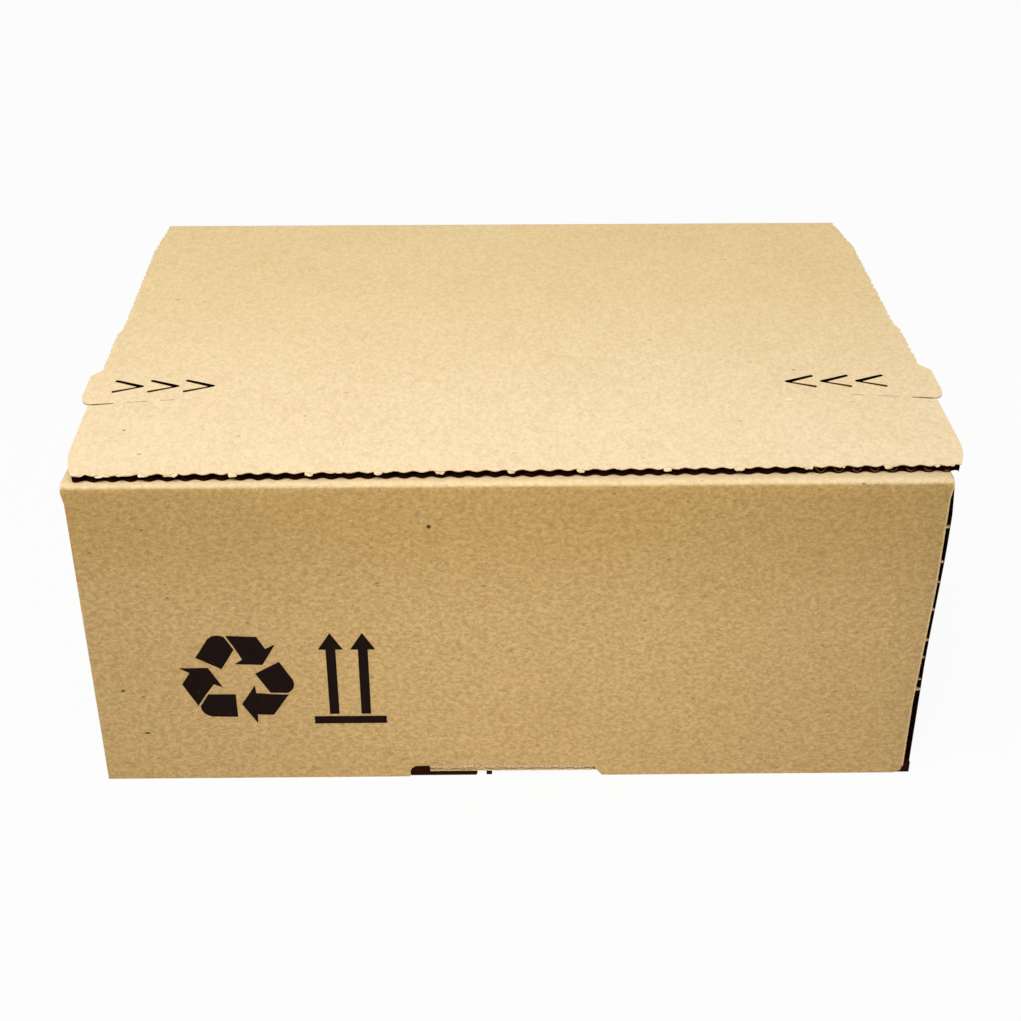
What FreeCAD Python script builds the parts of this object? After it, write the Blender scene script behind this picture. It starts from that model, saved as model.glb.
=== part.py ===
import FreeCAD, Part
import math
import os

# A closed cardboard mailing box: one die-cut blank of corrugated board, folded and glued shut.
# Millimetres. The front face looks towards -Y, +X is to its right and +Z is up.
# The origin is the middle of the underside of the box body.
# "Behind" is a distance behind the front face, and "across" a distance from the lid's own middle line.

# Board
board_thickness = 3.0
layer_gap = 0.3
flute_pitch = 6.4

# Body, over the outside of the walls, and up to the top of the flap that the lid lies on
body_width = 316.0
body_depth = 239.0
body_height = 133.5

# Front wall: its side edges are cut, and the right one leans in to the end of the bottom fold
front_side_margin = 0.4
front_corner_radius = 4.0

# Lock slot across the front wall's bottom fold, with the raised end of a tongue under its upper edge
slot_middle_x = -0.9
slot_width = 74.7
slot_height = 4.7
slot_depth = 7.0
slot_corner_radius = 3.0
slot_end_slant = 4.1
tongue_setback = 2.6
tongue_root = 4.0
tongue_left_gap = 7.0
tongue_right_gap = 3.6

# Inner flap: hinged on the front wall's top fold, flat under the lid
inner_flap_length = 47.0
inner_flap_taper = 6.0
inner_flap_taper_start = 24.0

# Ears: hinged on the side walls, behind the front wall and in front of the back wall
ear_length = 66.0
ear_corner = 9.0
ear_floor_gap = 1.0

# Back wall, and the fold that carries the lid on it
back_width = 315.0

# Lid: lying a little askew, with its front to the right
lid_front_setback = 4.6
lid_drift = 3.3
lid_swing = 0.8
lid_width = 323.0
lid_rear_width = 320.0
lid_shoulder_behind = 165.0
lid_step_behind = 118.0
lid_step_run = 4.0
lid_corner_run = 16.0
lid_corner_taper = 3.7
lid_corner_bulge = 1.3

# Front edge of the lid: a waved cut with short stubs of the bridges that held it in the blank
wave_height = 0.6
wave_corners = 6
stub_waves = 4
stub_width = 4.3
stub_reach = 1.4
stub_root = 1.5
stub_thickness = 0.8

# Tear strip across the lid: a finger tab at each side, the cut in front of it and its dashes
tab_front_behind = 57.5
tab_side_length = 23.0
tab_rear_run = 6.5
tab_reach = 3.6
tab_corner_across = 3.9
tab_corner_behind = 7.5
tear_cut_width = 0.5
tear_cut_length = 12.0
tear_cut_rise = 0.11
dash_length = 8.0
dash_spacing = 12.6
dash_count = 2
dash_first_inset = 15.5

# Arrow heads cut through the lid, three at each side, pointing inwards
arrow_middle_behind = 71.8
arrow_length = 11.3
arrow_spread = 9.0
arrow_cut_width = 1.2
arrow_pitch = 13.7
arrow_count = 3
arrow_left_inset = 7.1
arrow_right_inset = 16.7

# Tear tape under the lid, from tab to tab
tape_width = 4.0
tape_thickness = 0.15
tape_front_behind = 61.6

# Glue: the closing strip between the lid and the inner flap, and a pad at each ear
closing_strip_width = 15.0
closing_strip_margin = 18.0
closing_strip_front_behind = 18.0
glue_pad_width = 30.0
glue_pad_height = 90.0
glue_pad_inset = 18.0
glue_pad_floor_gap = 18.0

# Printed marks on the front wall
ink_thickness = 0.1
recycling_from_left = 55.1
recycling_from_bottom = 48.5
recycling_head = [(-2.9, 20.1), (8.6, 19.5), (11.5, 14.0), (15.3, 16.0), (10.0, 6.6), (-0.4, 7.0), (2.5, 9.1)]
recycling_head_inner = (0.2, 14.2)
recycling_tail = [(-0.3, 13.7), (-5.6, 4.7), (-15.0, 10.1), (-10.4, 17.6)]
recycling_tail_bend = (-7.6, 20.0)
recycling_tail_end = (-3.4, 19.4)
upright_from_left = 91.0
upright_from_bottom = 26.9
upright_spacing = 12.1
upright_shaft_width = 3.7
upright_head_width = 9.4
upright_head_height = 7.6
upright_height = 38.0
upright_bar_width = 27.7
upright_bar_height = 3.5
upright_bar_gap = 1.1
upright_bar_middle = 6.0

# Places that follow from the sizes above
half_width = body_width / 2
inner_half = half_width - board_thickness
front_y = -body_depth / 2
back_y = body_depth / 2
side_front_y = front_y + 2 * board_thickness + layer_gap
side_back_y = back_y - 2 * board_thickness - layer_gap
front_half = half_width - front_side_margin
back_half = back_width / 2
flap_end_y = front_y + board_thickness + inner_flap_length
low_wall_top = body_height - board_thickness - layer_gap
lid_bottom = body_height + layer_gap
lid_top = lid_bottom + board_thickness
lid_half = lid_width / 2
lid_front_half = lid_half - lid_corner_taper
lid_waves = round(2 * lid_front_half / flute_pitch)
wave_length = 2 * lid_front_half / lid_waves
hinge_behind = body_depth - board_thickness
tab_half = lid_half + tab_reach

UP = FreeCAD.Vector(0, 0, 1)
ALONG_X = FreeCAD.Vector(1, 0, 0)
ALONG_Y = FreeCAD.Vector(0, 1, 0)


def block(x_range, y_range, z_range):
    """Return a box between two limits on each axis."""
    low = FreeCAD.Vector(x_range[0], y_range[0], z_range[0])
    size = (x_range[1] - x_range[0], y_range[1] - y_range[0], z_range[1] - z_range[0])
    return Part.makeBox(size[0], size[1], size[2], low)


def outline(points):
    """Return the straight edges that join points in order and close on the first."""
    closed = points + [points[0]]
    return [Part.makeLine(a, b) for a, b in zip(closed, closed[1:])]


def plate(edges, thickness):
    """Return the solid that a closed outline sweeps along the vector thickness."""
    return Part.Face(Part.Wire(edges)).extrude(thickness)


def fold(corner, out_a, out_b, along):
    """Return the quarter-round of board round a fold, centred on its inner corner line."""
    end_a = corner + out_a * board_thickness
    end_b = corner + out_b * board_thickness
    middle = corner + (out_a + out_b).normalize() * board_thickness
    arc = Part.Arc(end_a, middle, end_b).toShape()
    return plate([Part.makeLine(corner, end_a), arc, Part.makeLine(end_b, corner)], along)


def lid_point(across, behind, height):
    """Return a point of the lid, moved as the lid lies askew on the body."""
    share = (hinge_behind - behind) / hinge_behind
    x = across + lid_drift * share
    y = front_y + behind + lid_swing * across / lid_half * share
    return FreeCAD.Vector(x, y, height)


def front_point(x, z):
    """Return a point on the front wall's outer face."""
    return FreeCAD.Vector(x, front_y, z)


def bottom_panel():
    """Return the bottom with the quarter-round folds up to its four walls."""
    near, far = front_y + board_thickness, back_y - board_thickness
    panel = block((-inner_half, inner_half), (near, far), (0, board_thickness))
    front_corner = FreeCAD.Vector(-front_half, near, board_thickness)
    back_corner = FreeCAD.Vector(-back_half, far, board_thickness)
    pieces = [fold(front_corner, -ALONG_Y, -UP, ALONG_X * (front_half + inner_half)),
              fold(back_corner, ALONG_Y, -UP, ALONG_X * back_width)]
    for side in (-1, 1):
        corner = FreeCAD.Vector(side * inner_half, side_front_y, board_thickness)
        pieces.append(fold(corner, ALONG_X * side, -UP, ALONG_Y * (side_back_y - side_front_y)))
    return panel.multiFuse(pieces)


def front_wall():
    """Return the front wall with its leaning right edge and rounded lower right corner."""
    top = body_height - board_thickness
    corners = [(-front_half, board_thickness), (inner_half, board_thickness),
               (inner_half, front_corner_radius), (front_half, top), (-front_half, top)]
    return plate(outline([front_point(x, z) for x, z in corners]), ALONG_Y * board_thickness)


def front_corner_cut():
    """Return what is cut away outside the rounded lower right corner of the front wall."""
    centre_x = inner_half - front_corner_radius
    waste = block((centre_x, half_width), (front_y - 1, front_y + board_thickness), (-1, front_corner_radius))
    centre = FreeCAD.Vector(centre_x, front_y - 1, front_corner_radius)
    round_part = Part.makeCylinder(front_corner_radius, board_thickness + 1, centre, ALONG_Y)
    return waste.cut(round_part)


def inner_flap():
    """Return the flap under the lid's front and the fold that carries it on the front wall."""
    corner = FreeCAD.Vector(-front_half, front_y + board_thickness, body_height - board_thickness)
    hinge = fold(corner, -ALONG_Y, UP, ALONG_X * (2 * front_half))
    taper_y = front_y + inner_flap_taper_start
    end_half = front_half - inner_flap_taper
    sides = [(front_half, front_y + board_thickness), (front_half, taper_y), (end_half, flap_end_y)]
    points = sides + [(-x, y) for x, y in reversed(sides)]
    floor = body_height - board_thickness
    panel = plate(outline([FreeCAD.Vector(x, y, floor) for x, y in points]), UP * board_thickness)
    return hinge.fuse(panel)


def side_wall(side):
    """Return one side wall, stepped down where the inner flap lies on it."""
    step_y = flap_end_y + layer_gap
    corners = [(side_front_y, board_thickness), (side_back_y, board_thickness), (side_back_y, body_height),
               (step_y, body_height), (step_y, low_wall_top), (side_front_y, low_wall_top)]
    inner_x = side * inner_half
    points = [FreeCAD.Vector(inner_x, y, z) for y, z in corners]
    return plate(outline(points), ALONG_X * (side * board_thickness))


def ear(side, facing, top):
    """Return one ear with its fold; facing is -ALONG_Y at the front and ALONG_Y at the back."""
    hinge_y = side_front_y if facing.y < 0 else side_back_y
    low = board_thickness + ear_floor_gap
    corner = FreeCAD.Vector(side * inner_half, hinge_y, low)
    hinge = fold(corner, ALONG_X * side, facing, UP * (top - low))
    end = inner_half - ear_length
    profile = [(inner_half, low), (end + ear_corner, low), (end, low + ear_corner),
               (end, top - ear_corner), (end + ear_corner, top), (inner_half, top)]
    points = [FreeCAD.Vector(side * x, hinge_y, z) for x, z in profile]
    return hinge.fuse(plate(outline(points), facing * board_thickness))


def back_wall():
    """Return the back wall with the fold that carries the lid."""
    wall = block((-back_half, back_half), (back_y - board_thickness, back_y), (board_thickness, lid_bottom))
    corner = FreeCAD.Vector(-back_half, back_y - board_thickness, lid_bottom)
    return wall.fuse(fold(corner, ALONG_Y, UP, ALONG_X * back_width))


def lid_side(side):
    """Return one side edge of the lid's outline, from the hinge fold to the front edge."""
    tab_rear = tab_front_behind + tab_side_length
    shape = [(back_half, hinge_behind), (lid_rear_width / 2, lid_shoulder_behind),
             (lid_rear_width / 2, lid_step_behind + lid_step_run), (lid_half, lid_step_behind),
             (lid_half, tab_rear + tab_rear_run), (tab_half, tab_rear),
             (tab_half, tab_front_behind + tab_corner_behind)]
    points = [lid_point(side * across, behind, lid_bottom) for across, behind in shape]
    edges = [Part.makeLine(a, b) for a, b in zip(points, points[1:])]
    diagonal = 1 - math.sqrt(0.5)
    tab_middle = lid_point(side * (tab_half - tab_corner_across * diagonal),
                           tab_front_behind + tab_corner_behind * diagonal, lid_bottom)
    tab_end = lid_point(side * (tab_half - tab_corner_across), tab_front_behind, lid_bottom)
    edges.append(Part.Arc(points[-1], tab_middle, tab_end).toShape())
    cut_end = lid_half - tear_cut_length
    cut_rise = tab_front_behind + tear_cut_length * tear_cut_rise
    cut = [tab_end, lid_point(side * cut_end, cut_rise, lid_bottom),
           lid_point(side * cut_end, cut_rise - tear_cut_width, lid_bottom),
           lid_point(side * lid_half, tab_front_behind - tear_cut_width, lid_bottom)]
    edges += [Part.makeLine(a, b) for a, b in zip(cut, cut[1:])]
    turn = lid_point(side * lid_half, lid_front_setback + lid_corner_run, lid_bottom)
    bulge = lid_point(side * (lid_half - lid_corner_taper / 2 + lid_corner_bulge / 2),
                      lid_front_setback + lid_corner_run / 2, lid_bottom)
    tip = lid_point(side * lid_front_half, lid_front_setback, lid_bottom)
    edges += [Part.makeLine(cut[-1], turn), Part.Arc(turn, bulge, tip).toShape()]
    return edges


def lid_front():
    """Return the lid's waved front edge, from its right end to its left."""
    points = [lid_point(lid_front_half, lid_front_setback, lid_bottom)]
    for k in range(lid_waves * wave_corners):
        share = (k + 0.5) / wave_corners
        across = lid_front_half - share * wave_length
        lift = wave_height * math.sin(2 * math.pi * share)
        points.append(lid_point(across, lid_front_setback + lift, lid_bottom))
    points.append(lid_point(-lid_front_half, lid_front_setback, lid_bottom))
    return [Part.makeLine(a, b) for a, b in zip(points, points[1:])]


def lid_cut(points):
    """Return a cutter right through the lid over an outline in the lid's own plane."""
    low = lid_bottom - 1
    return plate(outline([lid_point(a, b, low) for a, b in points]), UP * (board_thickness + 2))


def arrow_cut(side, root_across):
    """Return one arrow head's cutter, from its two root ends at root_across to its tip."""
    angle = math.atan2(arrow_spread / 2, arrow_length)
    half_cut = arrow_cut_width / 2
    tip_reach = half_cut / math.sin(angle)
    dx, dy = half_cut * math.sin(angle), half_cut * math.cos(angle)
    length, rise = arrow_length, arrow_spread / 2
    shape = [(length + tip_reach, 0), (dx, rise + dy), (-dx, rise - dy),
             (length - tip_reach, 0), (-dx, dy - rise), (dx, -rise - dy)]
    return lid_cut([(side * (root_across - x), arrow_middle_behind + y) for x, y in shape])


def arrow_cuts():
    """Return the cutters of all the arrow heads."""
    cutters = []
    for side, inset in ((-1, arrow_left_inset), (1, arrow_right_inset)):
        first_root = lid_half - inset
        cutters += [arrow_cut(side, first_root - k * arrow_pitch) for k in range(arrow_count)]
    return cutters


def tear_line(side, inset, length):
    """Return the cutter of one stretch of the cut in front of the tear strip."""
    near = lid_half - inset
    near_y = tab_front_behind + inset * tear_cut_rise
    far_y = near_y + length * tear_cut_rise
    low, high = -tear_cut_width, 0
    return lid_cut([(side * near, near_y + low), (side * (near - length), far_y + low),
                    (side * (near - length), far_y + high), (side * near, near_y + high)])


def tear_cuts():
    """Return the dashes that go on from the cut at each tab."""
    insets = [dash_first_inset + k * dash_spacing for k in range(dash_count)]
    return [tear_line(side, inset, dash_length) for side in (-1, 1) for inset in insets]


def bridge_stubs():
    """Return the stubs of board left on the lid's front edge, a few waves apart."""
    near, far = lid_front_setback - stub_reach, lid_front_setback + stub_root
    low = lid_top - stub_thickness
    stubs = []
    for wave in range(stub_waves, lid_waves, stub_waves):
        centre = lid_front_half - wave * wave_length
        left, right = centre - stub_width / 2, centre + stub_width / 2
        corners = [(left, near), (right, near), (right, far), (left, far)]
        stubs.append(plate(outline([lid_point(a, b, low) for a, b in corners]), UP * stub_thickness))
    return stubs


def lid_panel():
    """Return the lid with its tabs, cuts, waved front edge and stubs."""
    hinge = Part.makeLine(lid_point(-back_half, hinge_behind, lid_bottom),
                          lid_point(back_half, hinge_behind, lid_bottom))
    edges = Part.__sortEdges__([hinge] + lid_side(1) + lid_front() + lid_side(-1))
    panel = plate(edges, UP * board_thickness)
    return panel.cut(arrow_cuts() + tear_cuts()).multiFuse(bridge_stubs())


def lock_slot_cut():
    """Return the cutter of the lock slot across the bottom fold of the front wall."""
    left, right = slot_middle_x - slot_width / 2, slot_middle_x + slot_width / 2
    y = front_y - 1
    radius = slot_corner_radius
    diagonal = radius * (1 - math.sqrt(0.5))
    start = FreeCAD.Vector(left, y, slot_height - radius)
    bend = FreeCAD.Vector(left + diagonal, y, slot_height - diagonal)
    top_left = FreeCAD.Vector(left + radius, y, slot_height)
    rest = [top_left, FreeCAD.Vector(right - slot_end_slant, y, slot_height), FreeCAD.Vector(right, y, 0),
            FreeCAD.Vector(right, y, -1), FreeCAD.Vector(left, y, -1), start]
    edges = [Part.Arc(start, bend, top_left).toShape()]
    edges += [Part.makeLine(a, b) for a, b in zip(rest, rest[1:])]
    return plate(edges, ALONG_Y * (slot_depth + 1))


def tongue():
    """Return the tongue of the bottom panel that rises to the upper edge of the lock slot."""
    left = slot_middle_x - slot_width / 2 + tongue_left_gap
    right = slot_middle_x + slot_width / 2 - tongue_right_gap
    return block((left, right), (front_y + tongue_setback, front_y + slot_depth + tongue_root),
                 (slot_height - board_thickness, slot_height))


def folded_board():
    """Return the whole folded blank as one solid."""
    pieces = [front_wall(), inner_flap(), back_wall(), lid_panel()]
    for side in (-1, 1):
        pieces += [side_wall(side), ear(side, -ALONG_Y, low_wall_top), ear(side, ALONG_Y, body_height)]
    shell = bottom_panel().multiFuse(pieces)
    shell = shell.cut([front_corner_cut(), lock_slot_cut()])
    return shell.fuse(tongue()).removeSplitter()


def tear_tape():
    """Return the tape glued under the lid, just behind the tear strip's front cut."""
    end = tab_half - tab_corner_across
    ends = [(-end, tape_front_behind), (end, tape_front_behind),
            (end, tape_front_behind + tape_width), (-end, tape_front_behind + tape_width)]
    low = lid_bottom - tape_thickness
    return plate(outline([lid_point(a, b, low) for a, b in ends]), UP * tape_thickness)


def closing_strip():
    """Return the glue strip that fills the gap between the inner flap and the lid."""
    half = front_half - closing_strip_margin
    near = front_y + closing_strip_front_behind
    return block((-half, half), (near, near + closing_strip_width), (body_height, lid_bottom))


def ear_glue(side, facing):
    """Return the pad of glue between one ear and the wall that it lies against."""
    wall_y = front_y + board_thickness if facing.y < 0 else back_y - board_thickness - layer_gap
    outer = inner_half - glue_pad_inset
    x_range = sorted((side * outer, side * (outer - glue_pad_width)))
    low = board_thickness + glue_pad_floor_gap
    return block(x_range, (wall_y, wall_y + layer_gap), (low, low + glue_pad_height))


def ink(edges):
    """Return a flat printed patch on the front wall over a closed outline."""
    return plate(edges, -ALONG_Y * ink_thickness)


def recycling_mark():
    """Return the common mark of three folded arrows that chase each other."""
    centre_x, centre_z = -half_width + recycling_from_left, recycling_from_bottom

    def place(point):
        return front_point(centre_x + point[0], centre_z + point[1])

    head = ink(outline([place(p) for p in recycling_head + [recycling_head_inner]]))
    tail_points = [place(p) for p in [recycling_tail_end] + recycling_tail]
    bend = Part.Arc(tail_points[-1], place(recycling_tail_bend), tail_points[0]).toShape()
    tail = ink([Part.makeLine(a, b) for a, b in zip(tail_points, tail_points[1:])] + [bend])
    patches = []
    for turn in (0, 120, 240):
        for patch in (head, tail):
            copy = patch.copy()
            copy.rotate(front_point(centre_x, centre_z), ALONG_Y, turn)
            patches.append(copy)
    return Part.makeCompound(patches)


def upright_mark():
    """Return the common this-way-up mark: two arrows over a bar."""
    floor = upright_from_bottom
    bar_top = floor + upright_bar_height
    first_x = -half_width + upright_from_left
    foot = bar_top + upright_bar_gap
    top = foot + upright_height
    neck = top - upright_head_height
    patches = []
    for k in range(2):
        x = first_x + k * upright_spacing
        shaft, wide = upright_shaft_width / 2, upright_head_width / 2
        shape = [(x - shaft, foot), (x + shaft, foot), (x + shaft, neck), (x + wide, neck),
                 (x, top), (x - wide, neck), (x - shaft, neck)]
        patches.append(ink(outline([front_point(a, b) for a, b in shape])))
    middle = first_x + upright_bar_middle
    left, right = middle - upright_bar_width / 2, middle + upright_bar_width / 2
    bar = [(left, floor), (right, floor), (right, bar_top), (left, bar_top)]
    patches.append(ink(outline([front_point(a, b) for a, b in bar])))
    return Part.makeCompound(patches)


def save(name, shape):
    """Write one piece to its own file and say what it holds."""
    shape.exportStep("parts/" + name + ".step")
    print(name, "solids", len(shape.Solids), "valid", shape.isValid(), "cm3", round(shape.Volume / 1000, 3))


def main():
    """Build and save every piece."""
    os.makedirs("parts", exist_ok=True)
    save("folded_board", folded_board())
    save("tear_tape", tear_tape())
    save("closing_adhesive_strip", closing_strip())
    for side, hand in ((-1, "left"), (1, "right")):
        save("front_" + hand + "_ear_glue", ear_glue(side, -ALONG_Y))
        save("back_" + hand + "_ear_glue", ear_glue(side, ALONG_Y))
    save("printed_recycling_mark", recycling_mark())
    save("printed_upright_mark", upright_mark())


main()
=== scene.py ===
import logging
import math
import random
from collections.abc import Callable, Sequence
from dataclasses import dataclass, field
from enum import Enum

import bmesh
import bpy
from mathutils import Matrix, Vector


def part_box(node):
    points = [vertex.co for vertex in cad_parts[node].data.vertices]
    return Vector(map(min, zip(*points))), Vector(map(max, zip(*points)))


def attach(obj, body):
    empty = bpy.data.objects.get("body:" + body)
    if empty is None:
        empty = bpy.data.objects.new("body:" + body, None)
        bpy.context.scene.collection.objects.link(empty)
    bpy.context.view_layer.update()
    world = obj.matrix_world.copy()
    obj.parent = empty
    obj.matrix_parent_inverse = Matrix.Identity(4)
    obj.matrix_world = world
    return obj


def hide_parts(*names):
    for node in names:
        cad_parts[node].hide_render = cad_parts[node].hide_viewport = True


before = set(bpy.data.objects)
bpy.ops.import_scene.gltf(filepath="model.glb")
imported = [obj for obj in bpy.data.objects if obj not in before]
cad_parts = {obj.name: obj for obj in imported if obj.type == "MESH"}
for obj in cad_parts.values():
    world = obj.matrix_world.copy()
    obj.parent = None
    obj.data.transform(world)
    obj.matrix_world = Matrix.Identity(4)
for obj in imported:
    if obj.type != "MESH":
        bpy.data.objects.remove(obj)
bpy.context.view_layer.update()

# A closed corrugated mailing box. Metres, with the front face towards -Y, +X to its right and +Z up.
# "Behind" is a distance behind the front face, and "across" a distance from the lid's own middle line.

log = logging.getLogger("mailing_box")

MM = 0.001
ROOT = "root"
BOARD_NODE = "folded_board"
FLUTE_PITCH = 6.44 * MM
WAVE_TEXTURE_RATE = 20  # radians in a unit of length, in Blender's wave texture

Colour = tuple[float, float, float]
Point = tuple[float, float]
Span = tuple[float, float]
Triple = tuple[float, float, float]


def srgb(red: int, green: int, blue: int) -> Colour:
    """Turn a colour from 0 to 255 as seen on a screen into a linear one.

    Args:
        red: The red share, 0 to 255.
        green: The green share, 0 to 255.
        blue: The blue share, 0 to 255.

    Returns:
        The linear colour, each share 0 to 1.
    """
    def linear(value: float) -> float:
        """Return one linear share."""
        return value / 12.92 if value <= 0.04045 else ((value + 0.055) / 1.055) ** 2.4
    return linear(red / 255), linear(green / 255), linear(blue / 255)


class Axis(Enum):
    """A direction of the box."""

    X = 0
    Y = 1
    Z = 2


class Layer(Enum):
    """The three papers of corrugated board, from the outside in."""

    OUTER = "outer_liner"
    MEDIUM = "medium"
    INNER = "inner_liner"


class Cut(Enum):
    """What a boolean cut keeps."""

    REMOVE = "DIFFERENCE"
    KEEP_INSIDE = "INTERSECT"


@dataclass(frozen=True)
class BoardGrade:
    """Sizes of the corrugated board.

    The thickness is a hair under the construction model's, so that the inner corners stay open.
    """

    thickness: float = 2.96 * MM
    liner: float = 0.32 * MM
    inner_liner: float = 0.32 * MM
    medium: float = 0.26 * MM
    pitch: float = FLUTE_PITCH
    columns_per_flute: int = 8

    def depth(self, layer: Layer, across: float) -> tuple[float, float]:
        """Give where a paper lies below the board's outer face.

        Args:
            layer: The paper.
            across: The distance across the flutes, which the medium's wave follows.

        Returns:
            The depths of the paper's outer and inner face.
        """
        if layer is Layer.OUTER:
            return 0.0, self.liner
        if layer is Layer.INNER:
            return self.thickness - self.inner_liner, self.thickness
        gap = self.thickness - self.liner - self.inner_liner
        swing = (gap - self.medium) / 2
        middle = self.liner + gap / 2 + swing * math.sin(2 * math.pi * across / self.pitch)
        return middle - self.medium / 2, middle + self.medium / 2


@dataclass(frozen=True)
class BoxPlan:
    """Sizes of the folded box that several of its parts share."""

    low: Vector
    high: Vector
    body_width: float = 316 * MM
    body_height: float = 133.5 * MM
    layer_gap: float = 0.3 * MM
    front_side_margin: float = 0.4 * MM
    back_width: float = 315 * MM
    board: BoardGrade = field(default_factory=BoardGrade)
    cad_board: float = 3 * MM
    rear_nip: float = 1.5 * MM
    rear_nip_height: float = 6 * MM

    @property
    def front_y(self) -> float:
        """The front face."""
        return self.low.y

    @property
    def back_y(self) -> float:
        """The back face."""
        return self.high.y

    @property
    def lid_top(self) -> float:
        """The lid's upper face."""
        return self.high.z

    @property
    def lid_bottom(self) -> float:
        """The lid's lower face."""
        return self.lid_top - self.cad_board

    @property
    def half_width(self) -> float:
        """Half of the body's width, over its side walls."""
        return self.body_width / 2

    @property
    def front_half(self) -> float:
        """Half of the front wall's width."""
        return self.half_width - self.front_side_margin


class Editing:
    """Edit mode on one piece, started with nothing selected."""

    def __init__(self, piece: bpy.types.Object) -> None:
        """Remember the piece."""
        self.piece = piece

    def __enter__(self) -> "Editing":
        """Enter edit mode on the piece alone."""
        select(self.piece)
        bpy.ops.object.mode_set(mode="EDIT")
        bpy.ops.mesh.select_mode(type="VERT")
        bpy.ops.mesh.select_all(action="DESELECT")
        return self

    def __exit__(self, *problem: object) -> None:
        """Leave edit mode."""
        bpy.ops.object.mode_set(mode="OBJECT")

    @property
    def mesh(self) -> bmesh.types.BMesh:
        """The piece's edit mesh."""
        return bmesh.from_edit_mesh(self.piece.data)

    def select_all(self) -> None:
        """Select every vertex, edge and face."""
        bpy.ops.mesh.select_all(action="SELECT")

    def move(self, change: Callable[[bmesh.types.BMVert], Vector], selected_only: bool = False) -> None:
        """Put vertices in new places.

        Args:
            change: Gives a vertex's new place.
            selected_only: Whether only selected vertices move.
        """
        for vertex in self.mesh.verts:
            if vertex.select or not selected_only:
                vertex.co = change(vertex)
        bmesh.update_edit_mesh(self.piece.data)

    def extrude(self, offset: Vector) -> None:
        """Extrude what is selected."""
        bpy.ops.mesh.extrude_region_move(TRANSFORM_OT_translate={"value": offset})

    def close(self) -> None:
        """Merge doubled vertices and turn every face outwards."""
        self.select_all()
        bpy.ops.mesh.remove_doubles(threshold=1e-6)
        bpy.ops.mesh.dissolve_degenerate(threshold=1e-7)
        self.select_all()
        bpy.ops.mesh.normals_make_consistent(inside=False)


def deselect_all() -> None:
    """Leave edit mode and deselect every object."""
    if bpy.context.object is not None and bpy.context.object.mode != "OBJECT":
        bpy.ops.object.mode_set(mode="OBJECT")
    bpy.ops.object.select_all(action="DESELECT")


def select(*pieces: bpy.types.Object) -> None:
    """Select some pieces and nothing else, and make the first one active.

    Args:
        pieces: The pieces.
    """
    deselect_all()
    for piece in pieces:
        piece.select_set(True)
    bpy.context.view_layer.objects.active = pieces[0]


def progress(value: float, start: float, run: float) -> float:
    """Return how far a value has come along a run from its start, from 0 to 1."""
    return min(max((value - start) / run, 0), 1)


def settle(name: str) -> bpy.types.Object:
    """Name the new primitive and put its place into its mesh.

    Args:
        name: The piece's name.

    Returns:
        The piece, with its object at the origin.
    """
    bpy.ops.object.transform_apply(location=True, rotation=True, scale=True)
    piece = bpy.context.object
    piece.name = piece.data.name = name
    return piece


def apply_modifier(piece: bpy.types.Object, kind: str, **settings: object) -> None:
    """Give a piece a modifier and apply it.

    Args:
        piece: The piece to change.
        kind: The modifier's type.
        settings: The modifier's values by name.
    """
    select(piece)
    modifier = piece.modifiers.new(kind, kind)
    for key, value in settings.items():
        setattr(modifier, key, value)
    bpy.ops.object.modifier_apply(modifier=modifier.name)


def cut(piece: bpy.types.Object, cutter: bpy.types.Object, kind: Cut) -> None:
    """Cut a piece with another, which is kept."""
    apply_modifier(piece, "BOOLEAN", object=cutter, operation=kind.value, solver="EXACT")


def discard(*pieces: bpy.types.Object) -> None:
    """Remove cutters that have done their work."""
    for piece in pieces:
        bpy.data.objects.remove(piece)


def join(pieces: Sequence[bpy.types.Object], name: str) -> bpy.types.Object:
    """Join pieces into one.

    Args:
        pieces: The objects to join.
        name: The joined piece's name.

    Returns:
        The joined piece.
    """
    select(*pieces)
    if len(pieces) > 1:
        bpy.ops.object.join()
    pieces[0].name = pieces[0].data.name = name
    return pieces[0]


def plate(name: str, outline: Sequence[Point], top: float, thickness: float) -> bpy.types.Object:
    """Make a flat plate over an outline seen from above.

    Args:
        name: The piece's name.
        outline: The corners, in order, as x and y.
        top: The height of the upper face.
        thickness: How far the plate goes down from there.

    Returns:
        The closed plate.
    """
    deselect_all()
    bpy.ops.mesh.primitive_circle_add(vertices=len(outline), radius=1, fill_type="NGON")
    piece = settle(name)
    for vertex, (x, y) in zip(piece.data.vertices, outline):
        vertex.co = (x, y, top)
    with Editing(piece) as edit:
        edit.select_all()
        edit.extrude(Vector((0, 0, -thickness)))
        edit.close()
    return piece


def upright(name: str, outline: Sequence[Point], near: float, far: float) -> bpy.types.Object:
    """Make an upright plate over an outline seen from the front.

    Args:
        name: The piece's name.
        outline: The corners, in order, as x and z.
        near: Where its near face stands, in y.
        far: Where its far face stands.

    Returns:
        The closed plate.
    """
    piece = plate(name, outline, 0, far - near)
    with Editing(piece) as edit:
        edit.move(lambda vertex: Vector((vertex.co.x, near - vertex.co.z, vertex.co.y)))
        edit.close()
    return piece


def tilt(piece: bpy.types.Object, axis: Axis, start: float, slope: float) -> None:
    """Lower a piece in proportion to the distance from a line."""
    with Editing(piece) as edit:
        edit.move(lambda vertex: vertex.co - Vector((0, 0, abs(vertex.co[axis.value] - start) * slope)))


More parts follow.
